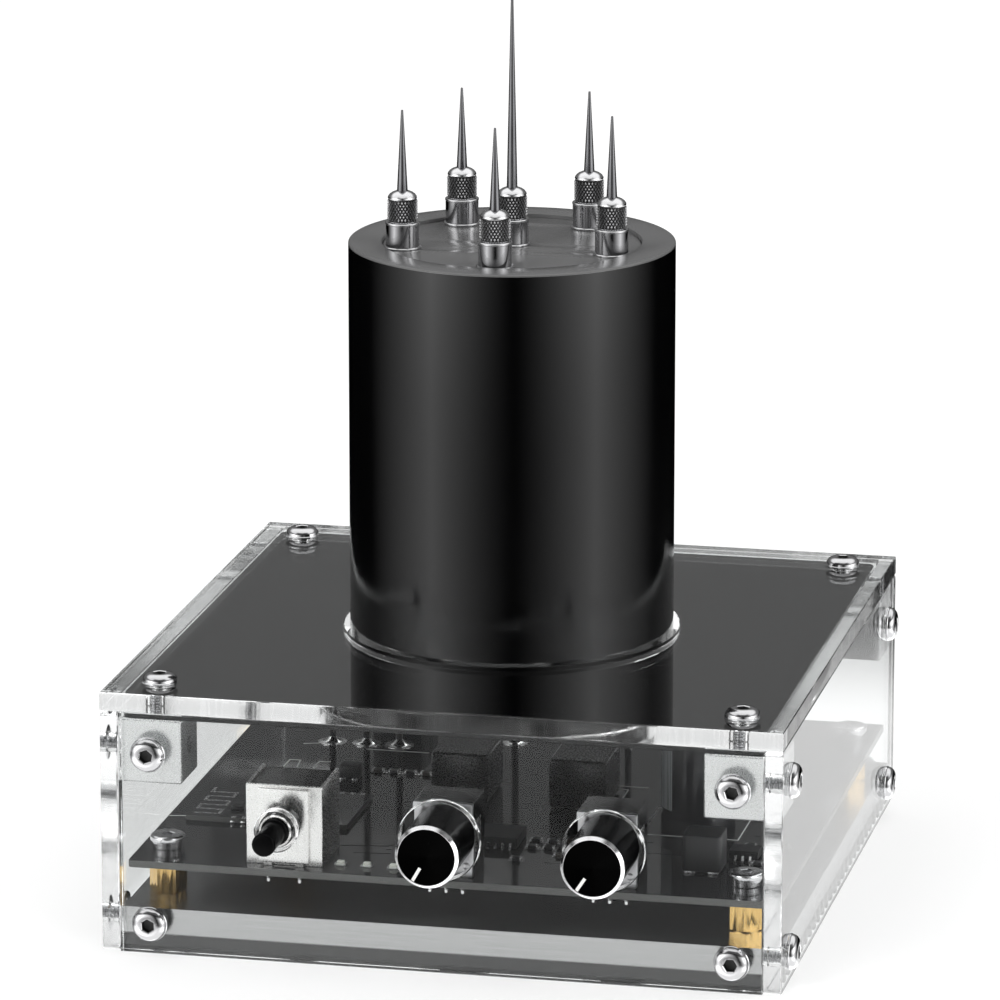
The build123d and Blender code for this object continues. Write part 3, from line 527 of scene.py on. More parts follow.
class Piece:
    """One object of the scene, built up in millimetres from simple machined forms."""

    def __init__(self, name, *finishes):
        self.name = name
        self.finishes = finishes
        self.mesh = bmesh.new()
        self.frame = Matrix.Identity(4)

    def at(self, matrix=Matrix.Identity(4)):
        """Draw what comes next in another frame, or in the object's own."""
        self.frame = matrix
        return self

    def vert(self, x, y, z):
        """A vertex in the current frame."""
        return self.mesh.verts.new(self.frame @ Vector((x, y, z)))

    def polar(self, reach, angle, height):
        """A vertex at a distance from the Z axis and an angle round it."""
        return self.vert(reach * cos(angle), reach * sin(angle), height)

    def ring(self, reach, height, sides):
        """Vertices round the Z axis; their distance from it may depend on the angle."""
        return [self.polar(reach(angle) if callable(reach) else reach, angle, height)
                for angle in (2 * pi * k / sides for k in range(sides))]

    def face(self, verts, finish):
        """A face, unless its corners fall together."""
        kept = list(dict.fromkeys(verts))
        if len(kept) > 2:
            made = self.mesh.faces.new(kept)
            made.material_index = finish

    def bands(self, rings, finishes, closed=False):
        """Join rings of vertices one to the next; a ring of one vertex is a point."""
        pairs = list(zip(rings, rings[1:])) + ([(rings[-1], rings[0])] if closed else [])
        for index, (first, second) in enumerate(pairs):
            finish = finishes[min(index, len(finishes) - 1)]
            count = max(len(first), len(second))
            for k in range(count):
                n = (k + 1) % count
                self.face([first[k % len(first)], first[n % len(first)],
                           second[n % len(second)], second[k % len(second)]], finish)

    def lathe(self, profile, sides=48, finish=0):
        """A turned form from (radius, height) points; a radius may depend on the angle."""
        rings = [[self.vert(0, 0, height)] if not callable(radius) and radius < 1e-6
                 else self.ring(radius, height, sides) for radius, height in profile]
        closed = len(rings[0]) > 1 or len(rings[-1]) > 1
        self.bands(rings, finish if isinstance(finish, list) else [finish], closed)

    def sweep(self, section, start, stop, steps, rise=0.0, finish=0):
        """A section of (radius, height) points carried round the Z axis, rising as it goes."""
        rings = []
        for step in range(steps + 1):
            share = step / steps
            angle = start + share * (stop - start)
            rings.append([self.polar(reach, angle, height + share * rise)
                          for reach, height in section])
        self.bands(rings, [finish])
        for end in (rings[0], rings[-1]):
            self.face(end, finish)

    def slab(self, outline, holes, low, high, edge, finish=0, side=None, steps=1):
        """A flat plate between two heights, with holes and broken edges; side is the finish of
        its edges, or a list of them for the outline and each hole."""
        side = finish if side is None else side
        sides = side if isinstance(side, list) else [side] * (1 + len(holes))
        levels = [(edge * (1 - rise), low + edge * (1 - run)) for run, rise in quarter(steps)]
        levels += [(inset, low + high - height) for inset, height in reversed(levels)]
        loops = [(outline, 1.0)] + [(hole, -1.0) for hole in holes]
        ends = {0: [], len(levels) - 1: []}
        for (shape, sign), own in zip(loops, sides):
            rings = [[self.vert(x, y, height) for x, y in shape(sign * inset)]
                     for inset, height in levels]
            self.bands(rings, own if isinstance(own, list) else [own])
            for level in ends:
                ends[level].append(rings[level])
        back = self.frame.inverted()
        for rings in ends.values():
            flat = [vert for ring in rings for vert in ring]
            corners = [[back @ vert.co for vert in ring] for ring in rings]
            around = [[(corner.x, corner.y, 0) for corner in ring] for ring in corners]
            for triangle in tessellate_polygon(around):
                self.face([flat[index] for index in triangle], finish)

    def brick(self, low, high, edge=0.1, finish=0, steps=2):
        """A block with rounded edges."""
        self.slab(rectangle(low[0], high[0], low[1], high[1], edge, steps), [],
                  low[2], high[2], edge, finish, steps=steps)

    def brick_at(self, x, y, width, depth, low, high, edge=0.1, finish=0, steps=2):
        """A block with rounded edges about a place, between two heights."""
        self.brick((x - width / 2, y - depth / 2, low), (x + width / 2, y + depth / 2, high),
                   edge, finish, steps)

    def ribbon(self, path, low, high, thickness, finish=0, flat=False):
        """A bent strip of sheet: a path of (y, z) points carried across X, or of (x, y) points
        carried up Z where it is flat."""
        last = len(path) - 1
        sides = []
        for index in range(last + 1):
            here = Vector(path[index])
            before = (here - Vector(path[max(index - 1, 0)])).normalized()
            after = (Vector(path[min(index + 1, last)]) - here).normalized()
            along = (before + after).normalized()
            turn = before.dot(after) if 0 < index < last else 1.0
            reach = thickness / 2 / max(((1 + turn) / 2) ** 0.5, 0.5)
            out = Vector((-along.y, along.x)) * reach
            sides.append((here + out, here - out))
        ring = [pair[0] for pair in sides] + [pair[1] for pair in reversed(sides)]
        ends = [[self.vert(p.x, p.y, level) if flat else self.vert(level, p.x, p.y) for p in ring]
                for level in (low, high)]
        self.bands(ends, [finish])
        for end in ends:
            for k in range(last):
                self.face([end[k], end[k + 1], end[-2 - k], end[-1 - k]], finish)

    def thread(self, radius, depth, pitch, low, high, finish=0):
        """A helical ridge of trapezoid section round the Z axis."""
        sides = 24
        turns = max((high - low) / pitch - 1, 0.5)
        root = radius - depth - 0.03
        section = [(reach, low + rise * pitch) for reach, rise in
                   ((root, 0.08), (radius, 0.42), (radius, 0.58), (root, 0.92))]
        steps = int(turns * sides)
        self.sweep(section, 0.0, 2 * pi * steps / sides, steps, pitch * steps / sides, finish)

    def place(self, body, slot, *nodes, crease=35.0):
        """Finish the mesh and put the piece in the scene for the nodes that it stands for."""
        bmesh.ops.recalc_face_normals(self.mesh, faces=self.mesh.faces)
        bmesh.ops.scale(self.mesh, vec=(MILLIMETRE,) * 3, verts=self.mesh.verts)
        data = bpy.data.meshes.new(self.name)
        self.mesh.to_mesh(data)
        self.mesh.free()
        for name in self.finishes:
            data.materials.append(finish_of(name))
        data.shade_smooth()
        data.set_sharp_from_angle(angle=radians(crease))
        made = bpy.data.objects.new(self.name, data)
        bpy.context.collection.objects.link(made)
        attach(made, body)
        if nodes:
            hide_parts(*nodes)
        return made


# --------------------------------------------------------------------- places in the frame
BLOCK_SIZE = 10.6             # of the plated blocks in the corners, along X and Y
BLOCK_HEIGHT = 11.1
FIN_HEIGHT = 3.0              # of the fins under the base
GROOVE = "groove"             # of the vertices of a knurl: 1 at the bottom of its grooves
SPUN_RING_PITCH = 0.22
WIRE_PITCH = 0.3
SCREW_RADIUS = 1.5
SCREW_HOLE_RADIUS = 1.7
HEAD_RADIUS = 3.05
WASHER_RADIUS = 2.65
SIDE_SHEET_CORNER = 1.2
DECK_CORNER = 1.4
TOWER_HOLE_GAP = 1.0


def block_middle():
    """The centre of the corner block at high X and high Y."""
    high = extent("corner_blocks")[1]
    return high - Vector((BLOCK_SIZE, BLOCK_SIZE, BLOCK_HEIGHT)) / 2


def screw_levels():
    """The heights of the wall screws: in the corner blocks and in the base."""
    low, high = extent("wall_screws")
    return high.z - HEAD_RADIUS, low.z + HEAD_RADIUS


def screw_holes(places):
    """The clearance holes round some screws."""
    return [disc(x, y, SCREW_HOLE_RADIUS, 32) for x, y in places]


def top_screw_places():
    """The places of the four screws that go down into the corner blocks."""
    middle = block_middle()
    return [(sx * middle.x, sy * middle.y) for sx, sy in CORNERS]


def board_hole_places():
    """The board's four screw places."""
    high = extent("board_washers")[1]
    return [(sx * (high.x - WASHER_RADIUS), sy * (high.y - WASHER_RADIUS)) for sx, sy in CORNERS]


def board_seat():
    """The height of the board's upper face."""
    return extent("circuit_board")[1].z


def axis_of(node):
    """The X and Z of a round part that faces the front."""
    low, high = extent(node)
    return (low.x + high.x) / 2, (low.z + high.z) / 2


# ------------------------------------------------------------------------- clear sheets
CONTROL_HOLES = [("switch_plunger", 3.5, 64), ("left_knob", 6.85, 96), ("right_knob", 6.85, 96)]
INLET_HOLE_RADIUS = 4.2


class MakeSheets(Operator):
    """Make the five clear sheets of the case"""

    bl_idname = "transformer.make_sheets"
    bl_label = "Clear sheets"

    def execute(self, context):
        sheets = context.scene.transformer_sheets
        self.edge, self.gap = sheets.edge_break, sheets.air_gap
        middle = block_middle()
        across, along = (screw_holes((side * reach, z) for side in (-1, 1) for z in screw_levels())
                         for reach in (middle.x, middle.y))
        low, high = extent("top_sheet")
        tower = disc(0, 0, extent("tower_shell")[1].x + TOWER_HOLE_GAP, 160)
        self.sheet("top_sheet", Matrix.Identity(4), rectangle(low.x, high.x, low.y, high.y),
                   screw_holes(top_screw_places()) + [tower], low.z, high.z, [1] * 5 + [[0, 2, 0]])
        low, high = extent("front_panel")
        outline = rectangle(low.x, high.x, low.z, high.z - self.gap)
        controls = [disc(*axis_of(node), radius, sides) for node, radius, sides in CONTROL_HOLES]
        self.sheet("front_panel", facing_front(), outline, across + controls,
                   self.gap - high.y, -low.y)
        low, high = extent("back_panel")
        outline = rectangle(low.x, high.x, low.z, high.z - self.gap)
        inlet = disc(*axis_of("inlet_pin"), INLET_HOLE_RADIUS)
        self.sheet("back_panel", facing_front(), outline, across + [inlet],
                   -high.y, -low.y - self.gap)
        for side, node in ((-1, "left_panel"), (1, "right_panel")):
            low, high = extent(node)
            outline = rectangle(low.y, high.y, low.z, high.z - self.gap, SIDE_SHEET_CORNER, 6)
            near, far = sorted((abs(low.x), abs(high.x)))
            self.sheet(node, facing_side(side), outline, along, near + self.gap, far)
        return {"FINISHED"}

    def sheet(self, node, matrix, outline, holes, low, high, side=1):
        """One sheet with clear faces and streaked edges."""
        facing = {"top": "top", "front": "front", "back": "front"}.get(node.split("_")[0], "side")
        finishes = ["acrylic_face", "acrylic_cut_" + facing] + ["acrylic_bore"] * (facing == "top")
        piece = Piece("clear_" + node, *finishes).at(matrix)
        piece.slab(outline, holes, low, high, self.edge, finish=0, side=side)
        piece.place("case", "acrylic", node)


# ------------------------------------------------------------------------------- screws
HEAD_HEIGHT = 1.65
HEAD_RIM = 0.3
HEAD_FLAT_RADIUS = 1.4
SOCKET_ACROSS_FLATS = 2.0
SOCKET_DEPTH = 1.0
SCREW_TIP = 0.35              # length of the chamfer at a screw's end
WALL_SCREW_LENGTH = 6.2


def button_screw(piece, length, matrix, settings):
    """A button-head screw with a hexagonal socket, whose Z axis comes out of its head."""
    piece.at(matrix)
    socket = hexagon(SOCKET_ACROSS_FLATS)
    floor = HEAD_HEIGHT - SOCKET_DEPTH
    core = SCREW_RADIUS - settings.thread_depth
    dome = [(HEAD_FLAT_RADIUS + (HEAD_RADIUS - 0.1 - HEAD_FLAT_RADIUS) * run,
             HEAD_RIM + 0.1 + (HEAD_HEIGHT - HEAD_RIM - 0.1) * rise) for run, rise in quarter(8)]
    profile = [(0, floor - 0.25), (SOCKET_ACROSS_FLATS / 2 * 0.8, floor), (socket, floor),
               (socket, HEAD_HEIGHT - 0.12), (hexagon(SOCKET_ACROSS_FLATS + 0.24), HEAD_HEIGHT)]
    profile += dome[::-1]
    profile += [(HEAD_RADIUS, HEAD_RIM), (HEAD_RADIUS, 0.06), (HEAD_RADIUS - 0.06, 0.0),
                (core, 0.0), (core, -length + SCREW_TIP), (core - SCREW_TIP, -length),
                (0, -length)]
    piece.lathe(profile, settings.sides, [2] * 3 + [0] * (len(profile) - 7) + [1] * 3)
    piece.thread(SCREW_RADIUS, settings.thread_depth, settings.pitch, -length + SCREW_TIP, -0.1,
                 finish=1)


class MakeScrews(Operator):
    """Make the case's twenty button-head screws"""

    bl_idname = "transformer.make_screws"
    bl_label = "Case screws"

    def execute(self, context):
        settings = context.scene.transformer_screws
        middle = block_middle()
        top = extent("top_sheet")[1].z
        finishes = ("screw_polished_steel", "thread_steel", "socket_shadow")
        piece = Piece("top_button_screws", *finishes)
        length = top - extent("top_screws")[0].z
        for turn, (x, y) in enumerate(top_screw_places()):
            matrix = (Matrix.Translation((x, y, top))
                      @ Matrix.Rotation(radians(17 + 41 * turn), 4, "Z"))
            button_screw(piece, length, matrix, settings)
        piece.place("case", "screw_steel", "top_screws")
        piece = Piece("wall_button_screws", *finishes)
        panel = extent("front_panel")[0].y
        length = -panel - (-extent("wall_screws")[0].y - HEAD_HEIGHT) + WALL_SCREW_LENGTH
        turn = 0
        for sx, sy in CORNERS:
            for z in screw_levels():
                for place, about in (
                    ((sx * middle.x, sy * -panel, z), 0 if sy < 0 else 180),
                    ((sx * -panel, sy * middle.y, z), 90 * sx),
                ):
                    turn += 1
                    matrix = (Matrix.Translation(place)
                              @ Matrix.Rotation(radians(about), 4, "Z")
                              @ Matrix.Rotation(radians(90), 4, "X")
                              @ Matrix.Rotation(radians(13 + 37 * turn), 4, "Z"))
                    button_screw(piece, length, matrix, settings)
        piece.place("case", "screw_steel", "wall_screws")
        return {"FINISHED"}


# ------------------------------------------------------------- deck, tower and hidden coil
LIP_RADIUS = 22.2             # of the recess in the tower's top
LIP_ROUNDING = 0.2
TOWER_WALL = 3.0
TOWER_LEDGE = 0.85
TOWER_LIP_HEIGHT = 6.0
NEEDLE_HOLE_RADIUS = 1.05
HIDDEN_FINISHES = {
    "coil_base": "coil_base_black", "primary_former": "former_white",
    "secondary_former": "former_white", "primary_winding": "wound_copper",
    "secondary_winding": "wound_copper", "bonding_plate": "bonding_brass",
    "coil_base_screws": "screw_polished_steel", "post_nuts": "post_nickel",
    "secondary_lead": "standoff_brass",
}


class MakeTower(Operator):
    """Make the black deck, the coil's tube and the disc that carries the electrodes"""

    bl_idname = "transformer.make_tower"
    bl_label = "Deck and tower"

    def execute(self, context):
        settings = context.scene.transformer_tower
        gap = context.scene.transformer_sheets.air_gap
        low, high = extent("deck")
        deck = Piece("deck_plate", "deck_gloss_black")
        deck.slab(rectangle(low.x, high.x, low.y, high.y, DECK_CORNER, 4),
                  screw_holes(top_screw_places()), low.z, high.z - gap, 0.12)
        deck.place("case", "deck_black", "deck")
        low, high = extent("tower_shell")
        plate_low, plate_high = extent("electrode_plate")
        radius, edge, top = high.x, settings.edge_radius, high.z
        profile = [(radius - TOWER_WALL, low.z), (radius - 0.15, low.z), (radius, low.z + 0.15)]
        profile += [(radius - edge * (1 - run), top - edge * (1 - rise))
                    for run, rise in quarter(4)]
        profile += [(LIP_RADIUS + LIP_ROUNDING * (1 - rise), top - LIP_ROUNDING * (1 - run))
                    for run, rise in quarter(3)]
        profile += [(LIP_RADIUS, plate_low.z), (LIP_RADIUS - TOWER_LEDGE, plate_low.z),
                    (LIP_RADIUS - TOWER_LEDGE, top - TOWER_LIP_HEIGHT),
                    (radius - TOWER_WALL, top - TOWER_LIP_HEIGHT)]
        tube = Piece("tower_tube", "tower_gloss", "rim_bright_edge", "disc_satin_black")
        # The rounded rims, finish 1, carry the painted highlight.
        tube.lathe(profile, settings.sides, [0, 0, 0, 1, 1, 1, 1, 2, 1, 1, 1, 2, 0])
        tube.place("case", "tower_black", "tower_shell", crease=25.0)
        plate = Piece("electrode_disc", "disc_satin_black")
        holes = [disc(x, y, NEEDLE_HOLE_RADIUS, 24) for x, y in needle_places()]
        plate.slab(disc(0, 0, plate_high.x, settings.sides), holes, plate_low.z + 0.01,
                   plate_high.z, 0.25, steps=3)
        plate.place("case", "tower_black", "electrode_plate", crease=25.0)
        for node, finish in HIDDEN_FINISHES.items():
            refinish(node, finish)
        return {"FINISHED"}


# ----------------------------------------------------------------------------- electrodes
POST_RADIUS = 2.93
POST_FOOT_RADIUS = 3.2
POST_FOOT_HEIGHT = 0.45
POST_BORE_RADIUS = 1.96
POST_BORE_DEPTH = 3.6
POST_STUD_RADIUS = 1.0
CAP_TAPER_HEIGHT = 1.25
# The cap's round crown: radii and heights above its shoulder.
CAP_CROWN = [(2.5, 0.05), (2.45, 0.3), (2.2, 0.65), (1.8, 0.95), (1.35, 1.15), (1.02, 1.25)]
CAP_SPIGOT_RADIUS = 1.9
CAP_SPIGOT_LENGTH = 3.3
NEEDLE_RADIUS = 0.92
NEEDLE_TIP_RADIUS = 0.2


def needle_places():
    """Where the six electrodes stand."""
    boxes = [extent(f"needle_{index}") for index in range(6)]
    return [((low.x + high.x) / 2, (low.y + high.y) / 2) for low, high in boxes]


class MakeElectrodes(Operator):
    """Make the six posts, their knurled caps and the needles"""

    bl_idname = "transformer.make_electrodes"
    bl_label = "Electrodes"

    def execute(self, context):
        settings = context.scene.transformer_electrodes
        low, high = extent("electrode_posts")
        foot, top = extent("electrode_plate")[1].z, high.z
        foot_top = foot + POST_FOOT_HEIGHT
        posts = Piece("electrode_post_set", "post_nickel", "cap_nickel")
        for x, y in needle_places():
            posts.at(upright(x, y))
            posts.lathe([
                (0, low.z), (POST_STUD_RADIUS, low.z), (POST_STUD_RADIUS, foot),
                (POST_FOOT_RADIUS - 0.08, foot), (POST_FOOT_RADIUS, foot + 0.08),
                (POST_FOOT_RADIUS, foot_top - 0.18), (POST_FOOT_RADIUS - 0.1, foot_top - 0.06),
                (POST_RADIUS - 0.08, foot_top), (POST_RADIUS - 0.08, top - 0.4),
                (POST_RADIUS, top - 0.3), (POST_RADIUS, top - 0.1), (POST_RADIUS - 0.1, top),
                (POST_BORE_RADIUS, top), (POST_BORE_RADIUS, top - POST_BORE_DEPTH),
                (0, top - POST_BORE_DEPTH),
            ], 64, [0] * 3 + [1] * 4 + [0] + [1] * 4 + [0] * 2)
        posts.place("case", "post_nickel", "electrode_posts", crease=30.0)
        for index, (x, y) in enumerate(needle_places()):
            self.cap(index, x, y, settings)
            self.needle(index, x, y)
        return {"FINISHED"}

    @staticmethod
    def cap(index, x, y, settings):
        """A knurled cap with a round crown on top and a spigot below."""
        node = f"knurled_cap_{index}"
        low, high = extent(node)
        radius = (high.x - low.x) / 2
        seat = low.z + CAP_SPIGOT_LENGTH
        shoulder = high.z - CAP_TAPER_HEIGHT
        bore = NEEDLE_RADIUS + 0.05
        cap = Piece(f"cap_{index}", "cap_nickel", "cap_knurled").at(upright(x, y))
        groove = cap.mesh.verts.layers.float.new(GROOVE)
        columns, rows = 2 * settings.knurl_columns, settings.knurl_rows
        valley = radius - settings.knurl_depth
        start, stop = seat + 0.16, shoulder - 0.1
        below = [(bore, low.z), (CAP_SPIGOT_RADIUS - 0.2, low.z), (CAP_SPIGOT_RADIUS, low.z + 0.2),
                 (CAP_SPIGOT_RADIUS, seat), (valley - 0.1, seat)]
        above = [(valley + 0.04, shoulder)]
        above += [(reach, shoulder + rise) for reach, rise in CAP_CROWN] + [(bore, high.z - 0.06)]
        rings = [cap.ring(reach, height, columns) for reach, height in below]
        first, last = len(rings), len(rings) + rows
        for row in range(rows + 1):
            height = start + (stop - start) * row / rows
            rings.append([])
            for k in range(columns):
                high_point = (k + row) % 2 == 0 and 0 < row < rows
                vert = cap.polar(radius if high_point else valley, 2 * pi * k / columns, height)
                vert[groove] = 0.0 if high_point else 1.0
                rings[-1].append(vert)
        rings += [cap.ring(reach, height, columns) for reach, height in above]
        for plain in (rings[:first + 1], rings[last:], [rings[-1], rings[0]]):
            cap.bands(plain, [0])
        for row in range(first, last):
            for k in range(columns):
                n = (k + 1) % columns
                corner = [rings[row][k], rings[row][n], rings[row + 1][n], rings[row + 1][k]]
                # The fold runs from groove to groove, so that each high point is a pyramid.
                folds = ((0, 1, 3), (1, 2, 3)) if (k + row - first) % 2 == 0 else (
                    (0, 1, 2), (0, 2, 3))
                for fold in folds:
                    cap.face([corner[index] for index in fold], 1)
        cap.place(node.replace("knurled_", "") + "_turn", "cap_nickel", node, crease=22.0)

    @staticmethod
    def needle(index, x, y):
        """A ground steel needle: a plain shank, and a long taper to its point."""
        node = f"needle_{index}"
        low, high = extent(node)
        cap_top = extent(f"knurled_cap_{index}")[1].z
        piece = Piece(f"needle_point_{index}", "needle_ground_steel").at(upright(x, y))
        profile = [(0, low.z), (NEEDLE_RADIUS - 0.1, low.z), (NEEDLE_RADIUS, low.z + 0.1),
                   (NEEDLE_RADIUS, cap_top)]
        profile += [(NEEDLE_RADIUS + (NEEDLE_TIP_RADIUS - NEEDLE_RADIUS) * share,
                     cap_top + (high.z - 0.08 - cap_top) * share)
                    for share in (step / 8 for step in range(1, 9))]
        piece.lathe(profile + [(0, high.z)], 40)
        piece.place(f"{node}_lift", "needle_steel", node, crease=30.0)


# --------------------------------------------------------------------------------- stage
SIDE_LIGHTS = (-46, 73)       # azimuths from the front towards +X, in degrees
SIDE_LIGHT_WIDTH = 60
SIDE_LIGHT_FADE = 1.6
UPPER_HALF = 2.1              # how much brighter a side light is above the horizon
FLOOR_WHITE = 1.25            # brightness of the floor in reflections
EDGE_WHITE = 0.78             # brightness of the light that the sheets' edges give back
LAMPS = {                     # place, side and power
    "left_softbox": ((-0.9, -0.9, 1.3), 0.9, 13.0),
    "right_softbox": ((1.1, -0.5, 1.0), 0.8, 7.2),
    "rear_softbox": ((0.3, 1.2, 1.1), 0.8, 7.2),
}


class MakeStage(Operator):
    """Set up the camera, the floor and the studio's light"""

    bl_idname = "transformer.make_stage"
    bl_label = "Camera, floor and light"

    def execute(self, context):
        settings = context.scene.transformer_stage
        scene = context.scene
        camera = bpy.data.objects.new("camera", bpy.data.cameras.new("camera"))
        camera.data.lens = settings.lens
        camera.data.clip_start, camera.data.clip_end = 0.05, 20.0
        camera.location = settings.camera_place
        camera.rotation_euler = Vector(settings.camera_aim).to_track_quat("-Z", "Y").to_euler()
        context.collection.objects.link(camera)
        scene.camera = camera
        scene.view_settings.view_transform = "Standard"
        # Light runs to and fro inside the clear sheets many times before it comes out.
        scene.cycles.max_bounces = scene.cycles.transmission_bounces = 28
        scene.cycles.glossy_bounces = 20
        half = settings.floor_size / 2
        data = bpy.data.meshes.new("floor")
        corners = [(sx * half, sy * half, -0.0002) for sx, sy in CORNERS]
        data.from_pydata(corners, [], [(0, 1, 2, 3)])
        data.materials.append(self.floor_white(settings.floor_glow))
        floor = bpy.data.objects.new("floor", data)
        floor.visible_glossy = False
        context.collection.objects.link(floor)
        self.world(scene, settings)
        for name, facts in LAMPS.items():
            self.lamp(name, *facts)
        return {"FINISHED"}

    @staticmethod
    def floor_white(glow):
        """White paint that shows white to the camera and through the sheets, with shadows."""
        paint = Finish("floor_white", (0.9, 0.9, 0.9), 0.6, Emission_Color=(1.0, 1.0, 1.0, 1.0))
        path = paint.rays()
        through = path["Is Transmission Ray"]
        seen = paint.math("MAXIMUM", path["Is Camera Ray"], through)
        straight = paint.math("MULTIPLY", through,
                              paint.math("LESS_THAN", path["Glossy Depth"], 0.5))
        own = paint.math("MAXIMUM", paint.math("MULTIPLY", seen, glow), straight)
        grain = paint.span(paint.noise(0.01), 0.0, 1.0, 0.995, 1.0)
        paint.set(Base_Color=paint.blend(own, paint.colour, (0.0, 0.0, 0.0, 1.0)),
                  Emission_Strength=paint.math("MULTIPLY", own, grain))
        return paint.material

    @staticmethod
    def lamp(name, place, size, power):
        """A square lamp that faces the object."""
        light = bpy.data.lights.new(name, "AREA")
        light.size, light.energy = size, power
        lamp = bpy.data.objects.new(name, light)
        lamp.location = place
        middle = Vector((0.0, 0.0, 0.05))
        lamp.rotation_euler = (middle - lamp.location).to_track_quat("-Z", "Y").to_euler()
        lamp.visible_glossy = False
        bpy.context.collection.objects.link(lamp)

    @staticmethod
    def world(scene, settings):
        """White where the camera sees it, and a studio with dark and bright parts otherwise."""
        world = bpy.data.worlds.new("studio")
        world.use_nodes = True
        scene.world = world
        nodes = Nodes(world.node_tree)
        direction = nodes.tree.nodes.new("ShaderNodeTexCoord").outputs["Generated"]
        axes = nodes.axes(direction)
        flat = nodes.distance(axes["X"], axes["Y"])

        def towards(azimuth):
            """The cosine of the angle, seen from above, to an azimuth."""
            east, south = sin(radians(azimuth)), -cos(radians(azimuth))
            return nodes.math("DIVIDE", nodes.math(
                "ADD", nodes.math("MULTIPLY", axes["X"], east),
                nodes.math("MULTIPLY", axes["Y"], south)), flat)

        def up(low, high, below=0.0, above=1.0):
            """A level that changes between two elevations, in degrees."""
            return nodes.span(axes["Z"], sin(radians(low)), sin(radians(high)), below, above)

        def about(azimuth, far, near, outside=0.0, inside=1.0):
            """A level that changes between two angles from an azimuth, in degrees."""
            return nodes.span(towards(azimuth), cos(radians(far)), cos(radians(near)),
                              outside, inside)

        def side_light(azimuth):
            """A tall light that fades to both sides, and is brighter in its upper half."""
            near = nodes.span(nodes.math("ARCCOSINE", towards(azimuth)),
                              0.0, radians(SIDE_LIGHT_WIDTH), 1.0, 0.0, smooth=False)
            halves = up(-8, 4, settings.side_light, settings.side_light * UPPER_HALF)
            return nodes.math("MULTIPLY", up(-46, -34), up(18, 30, 1.0, 0.0), halves,
                              nodes.math("POWER", near, SIDE_LIGHT_FADE))

        sweep = nodes.math("MULTIPLY", about(180, 52, 36), up(-16.2, -15.4, 1.0, 0.0))
        # The white floor reaches further up in front than at the sides and behind.
        floor = nodes.math("MAXIMUM", up(-29, -22, FLOOR_WHITE, 0.0), nodes.math(
            "MULTIPLY", up(-23, -15.5, FLOOR_WHITE, 0.0), about(0, 100, 75)))
        # The ceiling's softbox comes down lower at the sides and behind than over the camera.
        ceiling = nodes.math("MAXIMUM", up(58, 68, 0.0, settings.softbox), nodes.math(
            "MULTIPLY", up(28, 44, 0.0, settings.softbox), about(12, 70, 40, 1.0, 0.1)))
        behind = nodes.math("MULTIPLY", about(180, 100, 70), up(2, 12, 0.0, settings.behind))
        total = nodes.math("ADD", sweep, floor, ceiling, behind,
                           *(side_light(azimuth) for azimuth in SIDE_LIGHTS))
        path = nodes.rays()

        def few(depth, limit=0.5):
            """Whether a ray has turned fewer times than a limit."""
            return nodes.math("LESS_THAN", path[depth + " Depth"], limit)

        through = path["Is Transmission Ray"]
        seen = nodes.math("MULTIPLY", nodes.math("MAXIMUM", path["Is Camera Ray"], through),
                          few("Glossy"), few("Diffuse"))
        # Light that has run to and fro inside one sheet comes out of its edges nearly white.
        guided = nodes.math("MULTIPLY", through,
                            nodes.math("GREATER_THAN", path["Glossy Depth"], 2.5),
                            few("Transmission", 2.5), few("Diffuse"))
        for share, white in ((guided, EDGE_WHITE), (seen, 1.0)):
            shown = nodes.add("ShaderNodeMix", {"data_type": "FLOAT"})
            nodes.join(share, shown.inputs["Factor"])
            nodes.join(total, shown.inputs[2])
            nodes.join(white, shown.inputs[3])
            total = shown.outputs[0]
        background = nodes.tree.nodes["Background"]
        nodes.join(total, background.inputs["Color"])
        background.inputs["Strength"].default_value = 1.0


# ------------------------------------------------------------------ base, blocks, fasteners
STANDOFF_ACROSS_FLATS = 5.5
STANDOFF_BORE_DEPTH = 5.0
STANDOFF_TURNS = (-22, 12, 5, 31)     # degrees by which each one was screwed past square
BOARD_SCREW_HEAD_RADIUS = 3.0


class MakeBase(Operator):
    """Finish the aluminium base and the plated corner blocks"""

    bl_idname = "transformer.make_base"
    bl_label = "Base and blocks"

    def execute(self, context):
        refinish("heat_sink", "base_milled_aluminium")
        refinish("corner_blocks", "block_satin_nickel")
        return {"FINISHED"}


